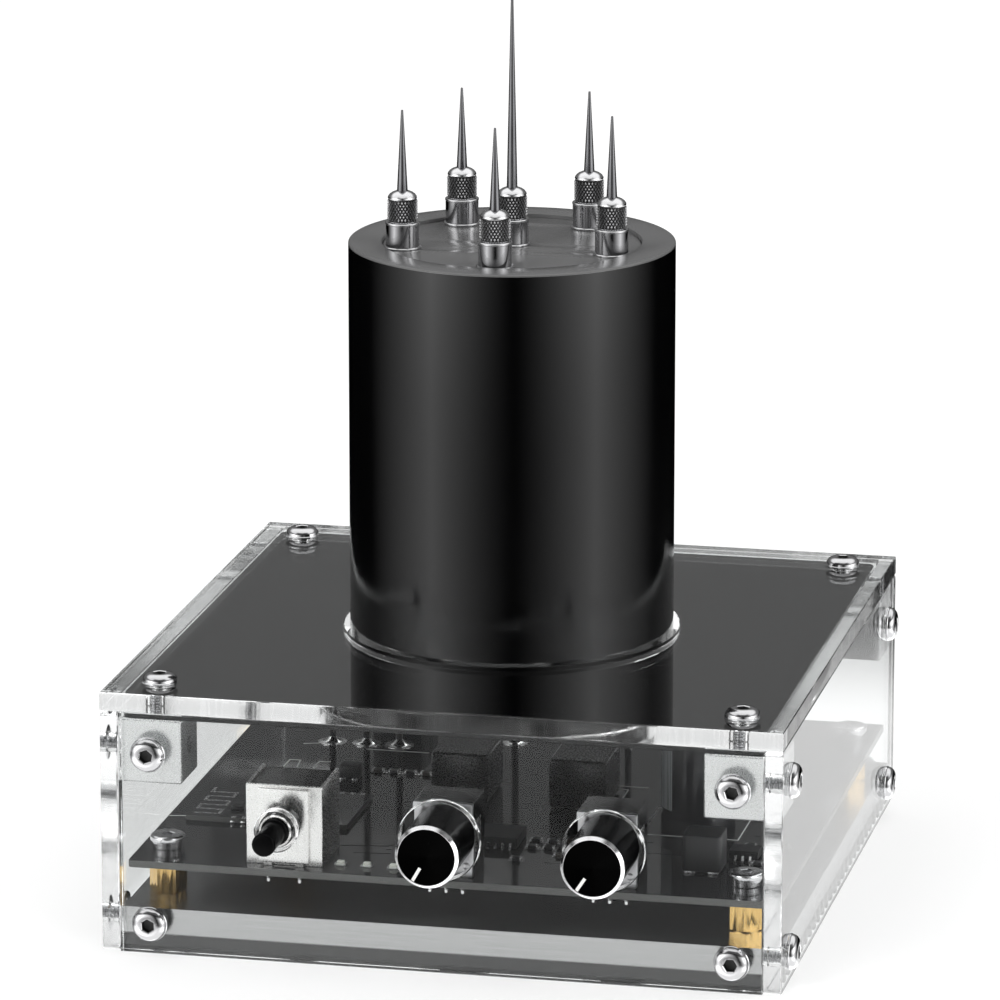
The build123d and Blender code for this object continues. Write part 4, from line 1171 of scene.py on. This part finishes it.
class MakeBoardFasteners(Operator):
    """Make the brass standoffs, the split washers and the board's screws"""

    bl_idname = "transformer.make_board_fasteners"
    bl_label = "Standoffs and board screws"

    def execute(self, context):
        settings = context.scene.transformer_screws
        low, high = extent("standoffs")
        foot, top = extent("heat_sink")[1].z, high.z
        washer_top = extent("board_washers")[1].z
        screw_low, screw_high = extent("board_screws")
        standoffs = Piece("hex_standoffs", "standoff_brass")
        washers = Piece("split_washers", "screw_polished_steel")
        screws = Piece("board_screw_set", "screw_polished_steel", "thread_steel")
        flat, corner = hexagon(STANDOFF_ACROSS_FLATS), STANDOFF_ACROSS_FLATS / 2
        bore = SCREW_RADIUS + 0.05
        for (x, y), turn in zip(board_hole_places(), STANDOFF_TURNS):
            standoffs.at(upright(x, y, radians(turn)))
            standoffs.lathe([
                (0, low.z), (SCREW_RADIUS, low.z), (SCREW_RADIUS, foot), (corner, foot),
                (flat, foot + 0.22), (flat, top - 0.22), (corner, top), (bore, top),
                (bore, top - STANDOFF_BORE_DEPTH), (0, top - STANDOFF_BORE_DEPTH),
            ])
            self.split_washer(washers.at(upright(x, y, 0.7 + x)), board_seat(), washer_top)
            self.pan_screw(screws.at(upright(x, y, 0.3 + y)), screw_low.z, washer_top,
                           screw_high.z, settings)
        standoffs.place("case", "brass", "standoffs")
        washers.place("case", "inner_steel", "board_washers")
        screws.place("case", "inner_steel", "board_screws")
        return {"FINISHED"}

    @staticmethod
    def split_washer(piece, low, high):
        """A lock washer: a ring with a slanting cut, one lip a little higher than the other."""
        inner = SCREW_RADIUS + 0.1
        piece.sweep([(inner, low), (WASHER_RADIUS, low), (WASHER_RADIUS, high - 0.16),
                     (inner, high - 0.16)], radians(8), radians(352), 40, 0.16)

    @staticmethod
    def pan_screw(piece, low, seat, top, settings):
        """A low round head with a hexagonal socket, and its threaded shank."""
        socket, radius = hexagon(SOCKET_ACROSS_FLATS), BOARD_SCREW_HEAD_RADIUS
        core = SCREW_RADIUS - settings.thread_depth
        dome = [(radius - 0.5 * (1 - run), top - 0.45 * (1 - rise)) for run, rise in quarter(4)]
        profile = [(0, seat + 0.1), (socket, seat + 0.15), (socket, top - 0.1),
                   (hexagon(SOCKET_ACROSS_FLATS + 0.2), top)] + dome[::-1]
        profile += [(radius, seat + 0.05), (radius - 0.05, seat), (core, seat),
                    (core, low + 0.3), (core - 0.3, low), (0, low)]
        piece.lathe(profile, finish=[0] * (len(profile) - 4) + [1] * 3)
        piece.thread(SCREW_RADIUS, settings.thread_depth, settings.pitch, low + 0.3, seat - 0.05,
                     finish=1)


# ------------------------------------------------------------------------- circuit board
TRACK_WIDTH = 0.9
SILK_WIDTH = 0.22
SILK_HEIGHT = 0.03
# Tracks and printed lines on the board: points from its middle, along X and Y.
TRACKS = [
    [(-21.9, -23.4), (-20.9, -23.2), (-12.8, -31.8), (-12.8, -38.2)],
    [(-21.9, -17.6), (-13.6, -29.4)],
    [(-21.9, -6.4), (-14.2, -13.4), (-14.2, -17.6)],
    [(-22.7, -37.3), (-12.5, -35.8)],
    [(-18.3, -40.7), (-12.0, -40.0)],
    [(8.9, -33.6), (14.6, -39.4), (30.6, -39.4)],
    [(8.9, -31.6), (16.2, -24.4), (30.2, -24.4)],
    [(-1.9, -28.2), (-9.8, -20.4), (-9.8, -12.2)],
    [(24.4, -30.4), (36.6, -30.4), (43.4, -33.2)],
    [(18.8, -12.8), (27.6, -12.8)],
    [(-41.4, 2.2), (-33.2, 2.2)],
    [(-12.0, 8.2), (-12.0, 24.6), (-6.2, 29.4)],
    [(2.2, 10.4), (2.2, 22.6), (13.4, 32.4)],
    [(26.8, 8.4), (40.2, 8.4), (46.8, 1.6), (46.8, -17.4)],
]
SILK_LINES = [
    [(-54.2, -27.1), (-51.4, -26.5)],
    [(-42.2, 5.8), (-42.1, 10.3), (-40.2, 10.3), (-39.8, 6.0)],
    [(-36.8, 6.0), (-36.7, 10.2), (-34.7, 10.3)],
    [(-42.2, 20.4), (-38.4, 21.6)],
    [(-30.5, 19.4), (-19.0, 19.4)],
    [(-13.0, -11.0), (-13.0, 4.8), (-1.0, 4.8)],
    [(7.6, -11.0), (7.6, 4.8), (20.0, 4.8), (20.0, -11.0)],
    [(17.2, 6.6), (23.2, 6.6)],
    [(27.2, -20.4), (27.2, -4.6), (44.0, -4.6), (44.0, -20.4), (27.2, -20.4)],
]


class MakeBoard(Operator):
    """Make the circuit board with its tracks and printed lines"""

    bl_idname = "transformer.make_board"
    bl_label = "Circuit board"

    def execute(self, context):
        track_height = context.scene.transformer_board.track_height
        low, high = extent("circuit_board")
        board = Piece("board_plate", "board_mask", "board_edge", "board_track", "silk_white")
        board.slab(rectangle(low.x, high.x, low.y, high.y, 0.6, 3),
                   screw_holes(board_hole_places()), low.z, high.z, 0.05, side=1)
        for lines, width, height, finish in ((TRACKS, TRACK_WIDTH, track_height, 2),
                                             (SILK_LINES, SILK_WIDTH, SILK_HEIGHT, 3)):
            for points in lines:
                board.ribbon(points, high.z, high.z + height, width, finish, flat=True)
        board.place("case", "board_black", "circuit_board")
        return {"FINISHED"}


# ------------------------------------------------------------------------ parts on the board
MODULE_THICKNESS = 0.9
MODULE_PADS = 11              # along each long side
AERIAL_LEGS = 6
AERIAL_REACH = 4.4
# Small parts on the radio module: place from its middle, size along X and Y, and height.
MODULE_PARTS = [
    (7.2, 4.6, 3.2, 2.4, 0.7), (7.4, -0.2, 1.6, 0.8, 0.5), (7.4, -2.4, 1.6, 0.8, 0.5),
    (-6.0, 5.0, 1.0, 0.5, 0.45), (-6.2, 3.2, 1.0, 0.5, 0.45), (-6.4, -4.4, 2.0, 1.2, 0.6),
    (9.8, -5.6, 1.6, 0.8, 0.5), (6.6, -6.0, 1.0, 0.5, 0.45),
]
FILM_BOX_WIDTH = 10.0
LEAD_PITCH = 1.27             # of a chip's leads
LEAD_REACH = 1.05
# The amplifier and the driver: middle, front, width, depth, height and leads on each side.
LEADED_CHIPS = [(3.4, -33.4, 10.0, 7.6, 1.9, 7), (46.9, -31.4, 5.0, 3.9, 1.6, 3)]
LINK_PLACES = [(-37.4, 22.7), (-31.2, 22.9), (-25.3, 23.2), (-5.6, 29.6), (14.3, 33.0)]
CHIP_SIZE = (2.0, 1.25, 0.7)
CHIP_PITCH = 2.9
# Rows of chip resistors and capacitors: the first one's centre, and how many there are.
CHIP_ROWS = [((-25.0, 6.0), 4), ((10.8, -28.6), 3), ((10.8, -32.4), 2), ((16.4, -36.0), 1),
             ((9.6, -39.6), 1), ((46.9, -24.0), 2), ((49.8, -33.6), 1)]


def gull_wing(piece, low, high, leads):
    """A moulded chip between two corners, with leads bent down in front and behind."""
    seat, front, back = low.z, low.y + LEAD_REACH, high.y - LEAD_REACH
    piece.brick((low.x, front, seat + 0.12), (high.x, back, high.z), 0.14)
    half_way = seat + (high.z - seat) * 0.48
    for index in range(leads):
        x = (low.x + high.x) / 2 + (index - (leads - 1) / 2) * LEAD_PITCH
        for side, edge in ((-1, front), (1, back)):
            path = [(edge - side * 0.25, half_way), (edge + side * 0.3, half_way),
                    (edge + side * 0.5, seat + 0.1), (edge + side * 1.03, seat + 0.1)]
            piece.ribbon(path, x - 0.2, x + 0.2, 0.16, 1)
    piece.at(upright(low.x + 0.9, front + 0.9))
    piece.lathe([(0, high.z - 0.02), (0.32, high.z - 0.02), (0.36, high.z + 0.002),
                 (0, high.z + 0.002)], 20)
    piece.at()


class MakeBoardParts(Operator):
    """Make the capacitors, chips, inductor, lamps and leads on the board"""

    bl_idname = "transformer.make_board_parts"
    bl_label = "Parts on the board"

    def execute(self, context):
        self.seat = board_seat()
        for make in (self.module, self.film_boxes, self.reservoir, self.inductor, self.chips,
                     self.small_chips, self.lamps, self.links):
            make()
        refinish("solder_joints", "solder_bright")
        return {"FINISHED"}

    def module(self):
        """The radio carrier: a board with soldered half holes, an aerial track and chips."""
        low, high = extent("radio_module")
        seat, top = self.seat, self.seat + MODULE_THICKNESS
        piece = Piece("radio_carrier", "module_mask", "lead_tin", "chip_black", "board_edge",
                      "solder_bright")
        piece.slab(rectangle(low.x, high.x, low.y, high.y, 0.2, 2), [], seat + 0.02, top, 0.04,
                   side=3)
        # The aerial: a flat track that goes to and fro at the left end.
        x, start, stop = low.x + 1.0, low.y + 2.0, high.y - 2.0
        pitch = (stop - start) / AERIAL_LEGS
        path = [(x, start)]
        for leg in range(AERIAL_LEGS):
            far, y = x + AERIAL_REACH * (leg % 2 == 0), start + pitch * leg
            path += [(far, y), (far, y + pitch)]
        piece.ribbon(path, top, top + 0.03, 0.55, 1, flat=True)
        pads = ((0.05, 1.15, top - 0.02, top + 0.035, 0.012, 1, 1),
                (-0.5, 0.05, seat, seat + 0.55, 0.18, 4, 2))
        for edge, inward in ((low.y, 1), (high.y, -1)):
            for index in range(MODULE_PADS):
                x = low.x + 8.4 + index * (high.x - low.x - 10.0) / (MODULE_PADS - 1)
                for near, far, below, above, rounding, finish, steps in pads:
                    y0, y1 = sorted((edge + inward * near, edge + inward * far))
                    piece.brick((x - 0.42, y0, below), (x + 0.42, y1, above),
                                rounding, finish, steps)
        x, y = (low.x + high.x) / 2, (low.y + high.y) / 2
        piece.brick_at(x, y, 8.0, 8.0, top, high.z, 0.12, 2)
        for index, (dx, dy, width, depth, height) in enumerate(MODULE_PARTS):
            piece.brick_at(x + dx, y + dy, width, depth, top, top + height, 0.06,
                           2 if index else 1)
        piece.place("case", "module_black", "radio_module")

    def film_boxes(self):
        """Two black boxes with rounded edges, the potting's line below and soldered feet."""
        low, high = extent("film_capacitors")
        seat = self.seat
        piece = Piece("film_boxes", "film_box_black", "housing_black", "lead_tin")
        for left in (low.x, high.x - FILM_BOX_WIDTH):
            right = left + FILM_BOX_WIDTH
            piece.brick((left, low.y, seat + 0.35), (right, high.y, high.z), 0.45, 0, 3)
            piece.brick((left + 0.5, low.y + 0.5, seat + 0.2),
                        (right - 0.5, high.y - 0.5, seat + 0.6), 0.1, 1)
            for y in (low.y + 1.6, high.y - 1.6):
                piece.at(upright((left + right) / 2, y))
                piece.lathe([(0, seat), (0.8, seat), (0.45, seat + 0.3), (0, seat + 0.35)], 24, 2)
                piece.at()
        piece.place("case", "film_black", "film_capacitors")

    def reservoir(self):
        """An aluminium can in a black sleeve with a grey stripe, and a cross of relief cuts."""
        low, high = extent("reservoir_capacitor")
        x, y = (low.x + high.x) / 2, (low.y + high.y) / 2
        radius, seat, top = (high.x - low.x) / 2, self.seat, high.z
        piece = Piece("reservoir_can", "sleeve_black", "can_aluminium", "stripe_grey")
        piece.at(upright(x, y))
        piece.lathe([
            (0, seat + 0.3), (radius - 0.76, seat), (radius - 0.35, seat), (radius, seat + 0.4),
            (radius, seat + 2.0), (radius - 0.45, seat + 2.5), (radius - 0.45, seat + 2.9),
            (radius, seat + 3.4), (radius, top - 0.7), (radius - 0.2, top - 0.25),
            (radius - 0.7, top - 0.04), (radius - 1.2, top - 0.04), (radius - 1.25, top - 0.12),
            (0, top - 0.12)], 96, [0] * 12 + [1])
        stripe = [(radius - 0.05, seat + 3.6), (radius, seat + 3.6), (radius, top - 0.9),
                  (radius - 0.05, top - 0.9)]
        piece.sweep(stripe, radians(200), radians(236), 12, finish=2)
        for turn in (20, 110):
            piece.at(upright(x, y, radians(turn)))
            piece.brick_at(0.0, 0.0, 6.4, 0.24, top - 0.13, top - 0.085, 0.02, 0, 1)
        piece.place("case", "sleeve_black", "reservoir_capacitor")

    def inductor(self):
        """A moulded power inductor on two pairs of flat terminals."""
        low, high = extent("inductor")
        piece = Piece("power_inductor", "ferrite_grey", "lead_tin")
        piece.slab(rectangle(low.x, high.x, low.y, high.y, 0.8, 4), [], self.seat + 0.3, high.z,
                   0.3, steps=3)
        for side in (-1, 1):
            x = (low.x + high.x) / 2 + side * 2.0
            for front, back in ((low.y + 0.06, low.y + 1.5), (high.y - 1.5, high.y - 0.06)):
                piece.brick((x - 0.9, front, self.seat), (x + 0.9, back, self.seat + 0.42),
                            0.08, 1)
        piece.place("case", "ferrite_grey", "inductor")

    def chips(self):
        """The amplifier, the driver and the flat transistor."""
        seat = self.seat
        piece = Piece("moulded_chips", "chip_black", "lead_tin")
        for middle, front, width, depth, height, leads in LEADED_CHIPS:
            low = Vector((middle - width / 2, front - LEAD_REACH, seat))
            high = Vector((middle + width / 2, front + depth + LEAD_REACH, seat + height))
            gull_wing(piece, low, high, leads)
        piece.brick((-30.8, 0.4, seat + 0.05), (-27.2, 3.4, seat + 2.5), 0.3)
        for x in (-30.6, -28.4):
            piece.brick((x, -0.2, seat), (x + 1.0, 0.5, seat + 0.35), 0.06, 1)
        piece.place("case", "chip_black", "board_chips")

    def small_chips(self):
        """Chip resistors and capacitors with bright ends and a little solder at each."""
        seat = self.seat
        piece = Piece("chip_resistors", "chip_ceramic", "lead_tin", "resistor_black",
                      "solder_bright")
        places = [(x + index * CHIP_PITCH, y)
                  for (x, y), count in CHIP_ROWS for index in range(count)]
        width, depth, height = CHIP_SIZE
        for index, (x, y) in enumerate(places):
            left, right, top = x - width / 2, x + width / 2, seat + height
            piece.brick_at(x, y, width - 0.6, depth, seat + 0.03, top - 0.04, 0.05,
                           2 if index % 3 else 0)
            for x0, x1 in ((left, left + 0.38), (right - 0.38, right)):
                piece.brick((x0, y - depth / 2, seat + 0.01), (x1, y + depth / 2, top), 0.06, 1)
            for x0, x1 in ((left - 0.42, left + 0.1), (right - 0.1, right + 0.42)):
                piece.brick((x0, y - depth / 2 - 0.08, seat),
                            (x1, y + depth / 2 + 0.08, seat + 0.24), 0.1, 3)
        piece.place("case", "chip_grey", "chip_parts")

    def lamps(self):
        """Three small indicator lamps: a white carrier with bright ends and a clear lens."""
        low, high = extent("indicator_leds")
        y, seat = (low.y + high.y) / 2, self.seat
        piece = Piece("indicator_lamps", "led_body_white", "lead_tin", "led_lens")
        for index in range(3):
            x = low.x + 1.0 + index * (high.x - low.x - 2.0) / 2
            piece.brick_at(x, y, 1.9, 1.2, seat + 0.02, seat + 0.38, 0.05)
            piece.brick_at(x, y, 1.24, 1.0, seat + 0.36, high.z, 0.14, 2, 3)
            for side in (-1, 1):
                piece.brick_at(x + side * 0.83, y, 0.34, 1.24, seat, seat + 0.42, 0.05, 1)
        piece.place("case", "led_white", "indicator_leds")

    def links(self):
        """Stiff black leads up to the deck, each in a ring of solder."""
        seat, top = self.seat, extent("coil_leads")[1].z
        piece = Piece("coil_link_leads", "wire_black", "solder_bright")
        for x, y in LINK_PLACES:
            piece.at(upright(x, y))
            piece.lathe([(0, seat), (2.6, seat), (2.6, seat + 0.12), (1.6, seat + 0.16),
                         (1.1, seat + 0.4), (0.62, seat + 1.1), (0, seat + 1.1)], 40, 1)
            piece.lathe([(0, seat + 0.9), (0.6, seat + 0.9), (0.6, top), (0, top)], 24)
        piece.place("case", "lead_black", "coil_leads")


# ----------------------------------------------------------------- switch, dials and inlet
SWITCH_FACE = 51.2            # how far the switch's plate stands in front of the middle
SWITCH_PLATE = 0.7
SWITCH_WALL = 0.5
SWITCH_BORE = 2.35
SWITCH_BUSHING = 3.0
BUSHING_PITCH = 0.5
PLUNGER_TIP, PLUNGER_BODY, PLUNGER_COLLAR = 2.0, 2.3, 2.8
PLUNGER_TIP_LENGTH = 7.4
COLLAR_LENGTH = 1.2
KNOB_RIM = 0.5
KNOB_BORE = 3.02
KNOB_BORE_DEPTH = 9.0
POINTER_LEAN = {"left": 29.5, "right": 33.0}      # degrees past straight down
POINTER_LENGTH = 2.6
POT_HALF_WIDTH = 5.1
POT_SHIFT = -0.5              # of a potentiometer's middle from its knob's axis
BARREL_RADIUS = 3.2
INLET_NOSE = 4.0
INLET_DEPTH = 9.6
PIN_RADIUS = 1.05


class MakeSwitch(Operator):
    """Make the push switch: faceplate, frame, housing and plunger"""

    bl_idname = "transformer.make_switch"
    bl_label = "Push switch"

    def execute(self, context):
        self.seat = board_seat()
        x, z = axis_of("switch_plunger")
        self.faceplate(x, z)
        self.bent_frame(x, z)
        low, high = extent("switch_housing")
        housing = Piece("switch_body", "housing_black").at(facing_front())
        outline = rectangle(low.x + 0.02, high.x - 0.02, self.seat, high.z, 0.2, 2)
        housing.slab(outline, [disc(x, z, 3.1, 48)], -high.y + 0.5, -low.y - 0.01, 0.12)
        housing.slab(outline, [], -high.y, -high.y + 0.5, 0.12)
        housing.place("case", "housing_black", "switch_housing")
        self.plunger(x, z)
        refinish("switch_spring", "spring_steel")
        return {"FINISHED"}

    def faceplate(self, x, z):
        """The plate on its two feet, with the threaded bushing in the middle."""
        low, high = extent("switch_faceplate")
        seat, face, front = self.seat, SWITCH_FACE, -low.y
        back = face - SWITCH_PLATE
        bore, outer = SWITCH_BORE, SWITCH_BUSHING
        root = outer - 0.22
        plate = Piece("switch_face", "switch_nickel", "bushing_dark").at(facing_front())
        plate.slab(rectangle(low.x, high.x, seat + 0.5, high.z, 0.25, 3), [disc(x, z, bore, 48)],
                   back, face, 0.1, steps=2)
        for foot in (x - 2.7, x + 2.7):
            plate.slab(rectangle(foot - 0.75, foot + 0.75, seat, seat + 0.6), [], back, face, 0.06)
        profile = [(bore, face - 0.3), (outer, face - 0.3)]
        height = face + 0.25
        while height < front - 0.7:
            profile += [(root, height), (outer, height + 0.22), (outer, height + 0.3)]
            height += BUSHING_PITCH
        nose = [(root, front - 0.55), (root, front - 0.25), (outer - 0.42, front),
                (bore + 0.1, front), (bore, front - 0.1)]
        plate.at(facing_front(x, z))
        plate.lathe(profile + nose, 64, [1] * len(profile) + [0] * (len(nose) - 1) + [1])
        plate.place("case", "switch_metal", "switch_faceplate")

    def bent_frame(self, x, z):
        """The sheet metal behind the plate, folded back along both sides."""
        low, high = extent("switch_frame")
        front = -low.y
        piece = Piece("switch_bent_frame", "switch_nickel").at(facing_front())
        piece.slab(rectangle(low.x, high.x, self.seat, high.z, 0.3, 3),
                   [disc(x, z, SWITCH_BORE, 48)], front - SWITCH_WALL, front - 0.005, 0.1)
        piece.at()
        for left in (low.x, high.x - SWITCH_WALL):
            piece.brick((left, low.y + 0.1, self.seat), (left + SWITCH_WALL, high.y, high.z))
        piece.place("case", "switch_metal", "switch_frame")

    @staticmethod
    def plunger(x, z):
        """The stepped plunger with its rounded tip."""
        low, high = extent("switch_plunger")
        tip, body, collar = PLUNGER_TIP, PLUNGER_BODY, PLUNGER_COLLAR
        front, back = -low.y, -high.y
        step, collar_front = front - PLUNGER_TIP_LENGTH, back + COLLAR_LENGTH
        profile = [(0, front)]
        profile += [(tip - 0.5 + 0.5 * rise, front - 0.5 + 0.5 * run) for run, rise in quarter(5)]
        profile += [(tip, step + 0.1), (body - 0.12, step), (body, step - 0.12),
                    (body, collar_front), (collar, collar_front), (collar, back), (0, back)]
        piece = Piece("push_plunger", "plunger_black").at(facing_front(x, z))
        piece.lathe(profile, 64)
        piece.place("button", "plunger_black", "switch_plunger")


class MakeDials(Operator):
    """Make the two dials with their potentiometers"""

    bl_idname = "transformer.make_dials"
    bl_label = "Dials"

    def execute(self, context):
        faces = Piece("potentiometer_plates", "pot_zinc")
        bodies = Piece("potentiometer_cases", "housing_black", "switch_nickel")
        for side in POINTER_LEAN:
            x, z = axis_of(f"{side}_knob")
            self.knob(side, x, z)
            self.potentiometer_face(faces, x, z)
            self.potentiometer_body(bodies, x, z)
        faces.place("case", "switch_metal", "potentiometer_faces")
        bodies.place("case", "housing_black", "potentiometer_bodies")
        for side in POINTER_LEAN:
            refinish(f"{side}_shaft", "shaft_turned")
        return {"FINISHED"}

    @staticmethod
    def knob(side, x, z):
        """A black turned knob with a bright chamfer, a spun face and a white pointer."""
        low, high = extent(f"{side}_knob")
        radius, rim = (high.x - low.x) / 2, KNOB_RIM
        front, back = -low.y, -high.y
        face, floor = front - 0.03, back + KNOB_BORE_DEPTH
        piece = Piece(f"{side}_turned_knob", "knob_black_side", "knob_bright_rim",
                      "knob_spun_face", "pointer_white").at(facing_front(x, z))
        piece.lathe([
            (0, face - 0.05), (0.35, face - 0.05), (0.45, face), (radius - rim - 0.06, face),
            (radius - rim, front), (radius, front - rim), (radius, front - rim - 0.25),
            (radius - 0.06, front - rim - 0.35), (radius - 0.06, back + 0.5), (radius - 0.2, back),
            (KNOB_BORE, back), (KNOB_BORE, floor), (0, floor)], 96, [2, 2, 2, 1, 1, 1, 0])
        piece.at(facing_front(x, z) @ Matrix.Rotation(radians(-POINTER_LEAN[side]), 4, "Z"))
        outer = radius - rim - 0.15
        piece.brick((-0.27, -outer, face - 0.1), (0.27, POINTER_LENGTH - outer, face + 0.025),
                    0.02, 3, 1)
        piece.place(f"{side}_dial", "knob_black", f"{side}_knob")

    @staticmethod
    def potentiometer_face(piece, x, z):
        """A metal face with its bushing and four rivets."""
        low, high = extent("potentiometer_faces")
        seat, front = board_seat(), -low.y
        plate = front - 1.5
        left, right = x + POT_SHIFT - POT_HALF_WIDTH, x + POT_SHIFT + POT_HALF_WIDTH
        piece.at(facing_front())
        piece.slab(rectangle(left, right, seat, high.z, 0.35, 3), [disc(x, z, 3.05, 48)],
                   plate - 1.0, plate, 0.12, steps=2)
        piece.at(facing_front(x, z))
        piece.lathe([(3.05, plate - 0.2), (3.9, plate - 0.2), (3.9, plate + 0.5),
                     (3.7, plate + 0.6), (3.7, front - 0.3), (3.5, front), (3.15, front),
                     (3.05, front - 0.1)], 64)
        for rivet_z in (seat + 1.8, high.z - 1.5):
            for rivet_x in (left + 1.3, right - 1.3):
                piece.at(facing_front(rivet_x, rivet_z))
                piece.lathe([(0, plate - 0.1), (0.62, plate - 0.1), (0.6, plate + 0.12),
                             (0.3, plate + 0.22), (0, plate + 0.22)], 20)

    @staticmethod
    def potentiometer_body(piece, x, z):
        """The moulded body, with the face's folded tabs along its sides."""
        low, high = extent("potentiometer_bodies")
        seat, front, back = board_seat(), -low.y, -high.y
        left, right = x + POT_SHIFT - POT_HALF_WIDTH, x + POT_SHIFT + POT_HALF_WIDTH
        outline = rectangle(left + 0.02, right - 0.02, seat, high.z, 0.3, 3)
        piece.at(facing_front())
        piece.slab(outline, [disc(x, z, 4.5, 64)], front - 2.1, front - 0.01, 0.1)
        piece.slab(outline, [], back, front - 2.1, 0.1)
        piece.at()
        for tab in (left - 0.005, right - 0.395):
            piece.brick((tab, low.y, seat + 3.0), (tab + 0.4, low.y + 5.6, seat + 9.4), 0.08, 1)


class MakeInlet(Operator):
    """Make the power inlet at the back"""

    bl_idname = "transformer.make_inlet"
    bl_label = "Power inlet"

    def execute(self, context):
        x, z = axis_of("inlet_pin")
        low, high = extent("power_inlet")
        barrel, nose = BARREL_RADIUS, INLET_NOSE
        # The inlet faces the back, so its mouth is at the lowest height of this frame.
        mouth, floor = -high.y, -high.y + INLET_DEPTH
        wall = -extent("back_panel")[0].y
        piece = Piece("inlet_body", "inlet_black").at(facing_front())
        outline = rectangle(low.x, high.x, board_seat(), high.z, 0.35, 3)
        piece.slab(outline, [disc(x, z, barrel, 64)], wall + 0.02, floor, 0.2, steps=2)
        piece.slab(outline, [], floor, -low.y, 0.2, steps=2)
        piece.at(facing_front(x, z))
        piece.lathe([(barrel, wall + 0.3), (nose, wall + 0.3), (nose, mouth + 0.25),
                     (nose - 0.25, mouth), (barrel + 0.3, mouth), (barrel, mouth + 0.3)], 72)
        piece.place("case", "inlet_black", "power_inlet")
        low, high = extent("inlet_pin")
        tip = -high.y
        pin = Piece("inlet_centre_pin", "inlet_pin_plate").at(facing_front(x, z))
        profile = [(0, -low.y), (PIN_RADIUS, -low.y), (PIN_RADIUS, tip + 0.5)]
        profile += [(PIN_RADIUS - 0.5 * (1 - run), tip + 0.5 * (1 - rise))
                    for run, rise in quarter(4, 1)]
        pin.lathe(profile + [(0, tip)], 40)
        pin.place("case", "inlet_pin_steel", "inlet_pin")
        return {"FINISHED"}


# ------------------------------------------------------------------------ panel and script
SETTINGS = {
    "transformer_sheets": SheetSettings,
    "transformer_tower": TowerSettings,
    "transformer_screws": ScrewSettings,
    "transformer_electrodes": ElectrodeSettings,
    "transformer_board": BoardSettings,
    "transformer_stage": StageSettings,
}
OPERATORS = [
    MakeStage, MakeSheets, MakeScrews, MakeBase, MakeBoardFasteners, MakeBoard, MakeBoardParts,
    MakeSwitch, MakeDials, MakeInlet, MakeTower, MakeElectrodes,
]


class TransformerPanel(Panel):
    """Lists the steps that make the transformer"""

    bl_idname = "VIEW3D_PT_transformer"
    bl_label = "Resonant transformer"
    bl_space_type = "VIEW_3D"
    bl_region_type = "UI"
    bl_category = "Transformer"

    def draw(self, context):
        for made in OPERATORS:
            self.layout.operator(made.bl_idname)
        for name, group in SETTINGS.items():
            box = self.layout.box()
            box.label(text=group.__doc__)
            for field in group.__annotations__:
                box.prop(getattr(context.scene, name), field)


def register():
    for group in SETTINGS.values():
        bpy.utils.register_class(group)
    for name, group in SETTINGS.items():
        setattr(bpy.types.Scene, name, PointerProperty(type=group))
    for made in OPERATORS:
        bpy.utils.register_class(made)
    bpy.utils.register_class(TransformerPanel)


def unregister():
    bpy.utils.unregister_class(TransformerPanel)
    for made in reversed(OPERATORS):
        bpy.utils.unregister_class(made)
    for name in SETTINGS:
        delattr(bpy.types.Scene, name)
    for group in reversed(list(SETTINGS.values())):
        bpy.utils.unregister_class(group)


def main():
    """Register the add-on and make every piece."""
    register()
    for made in OPERATORS:
        group, step = made.bl_idname.split(".")
        getattr(getattr(bpy.ops, group), step)()


if __name__ == "__main__":
    main()
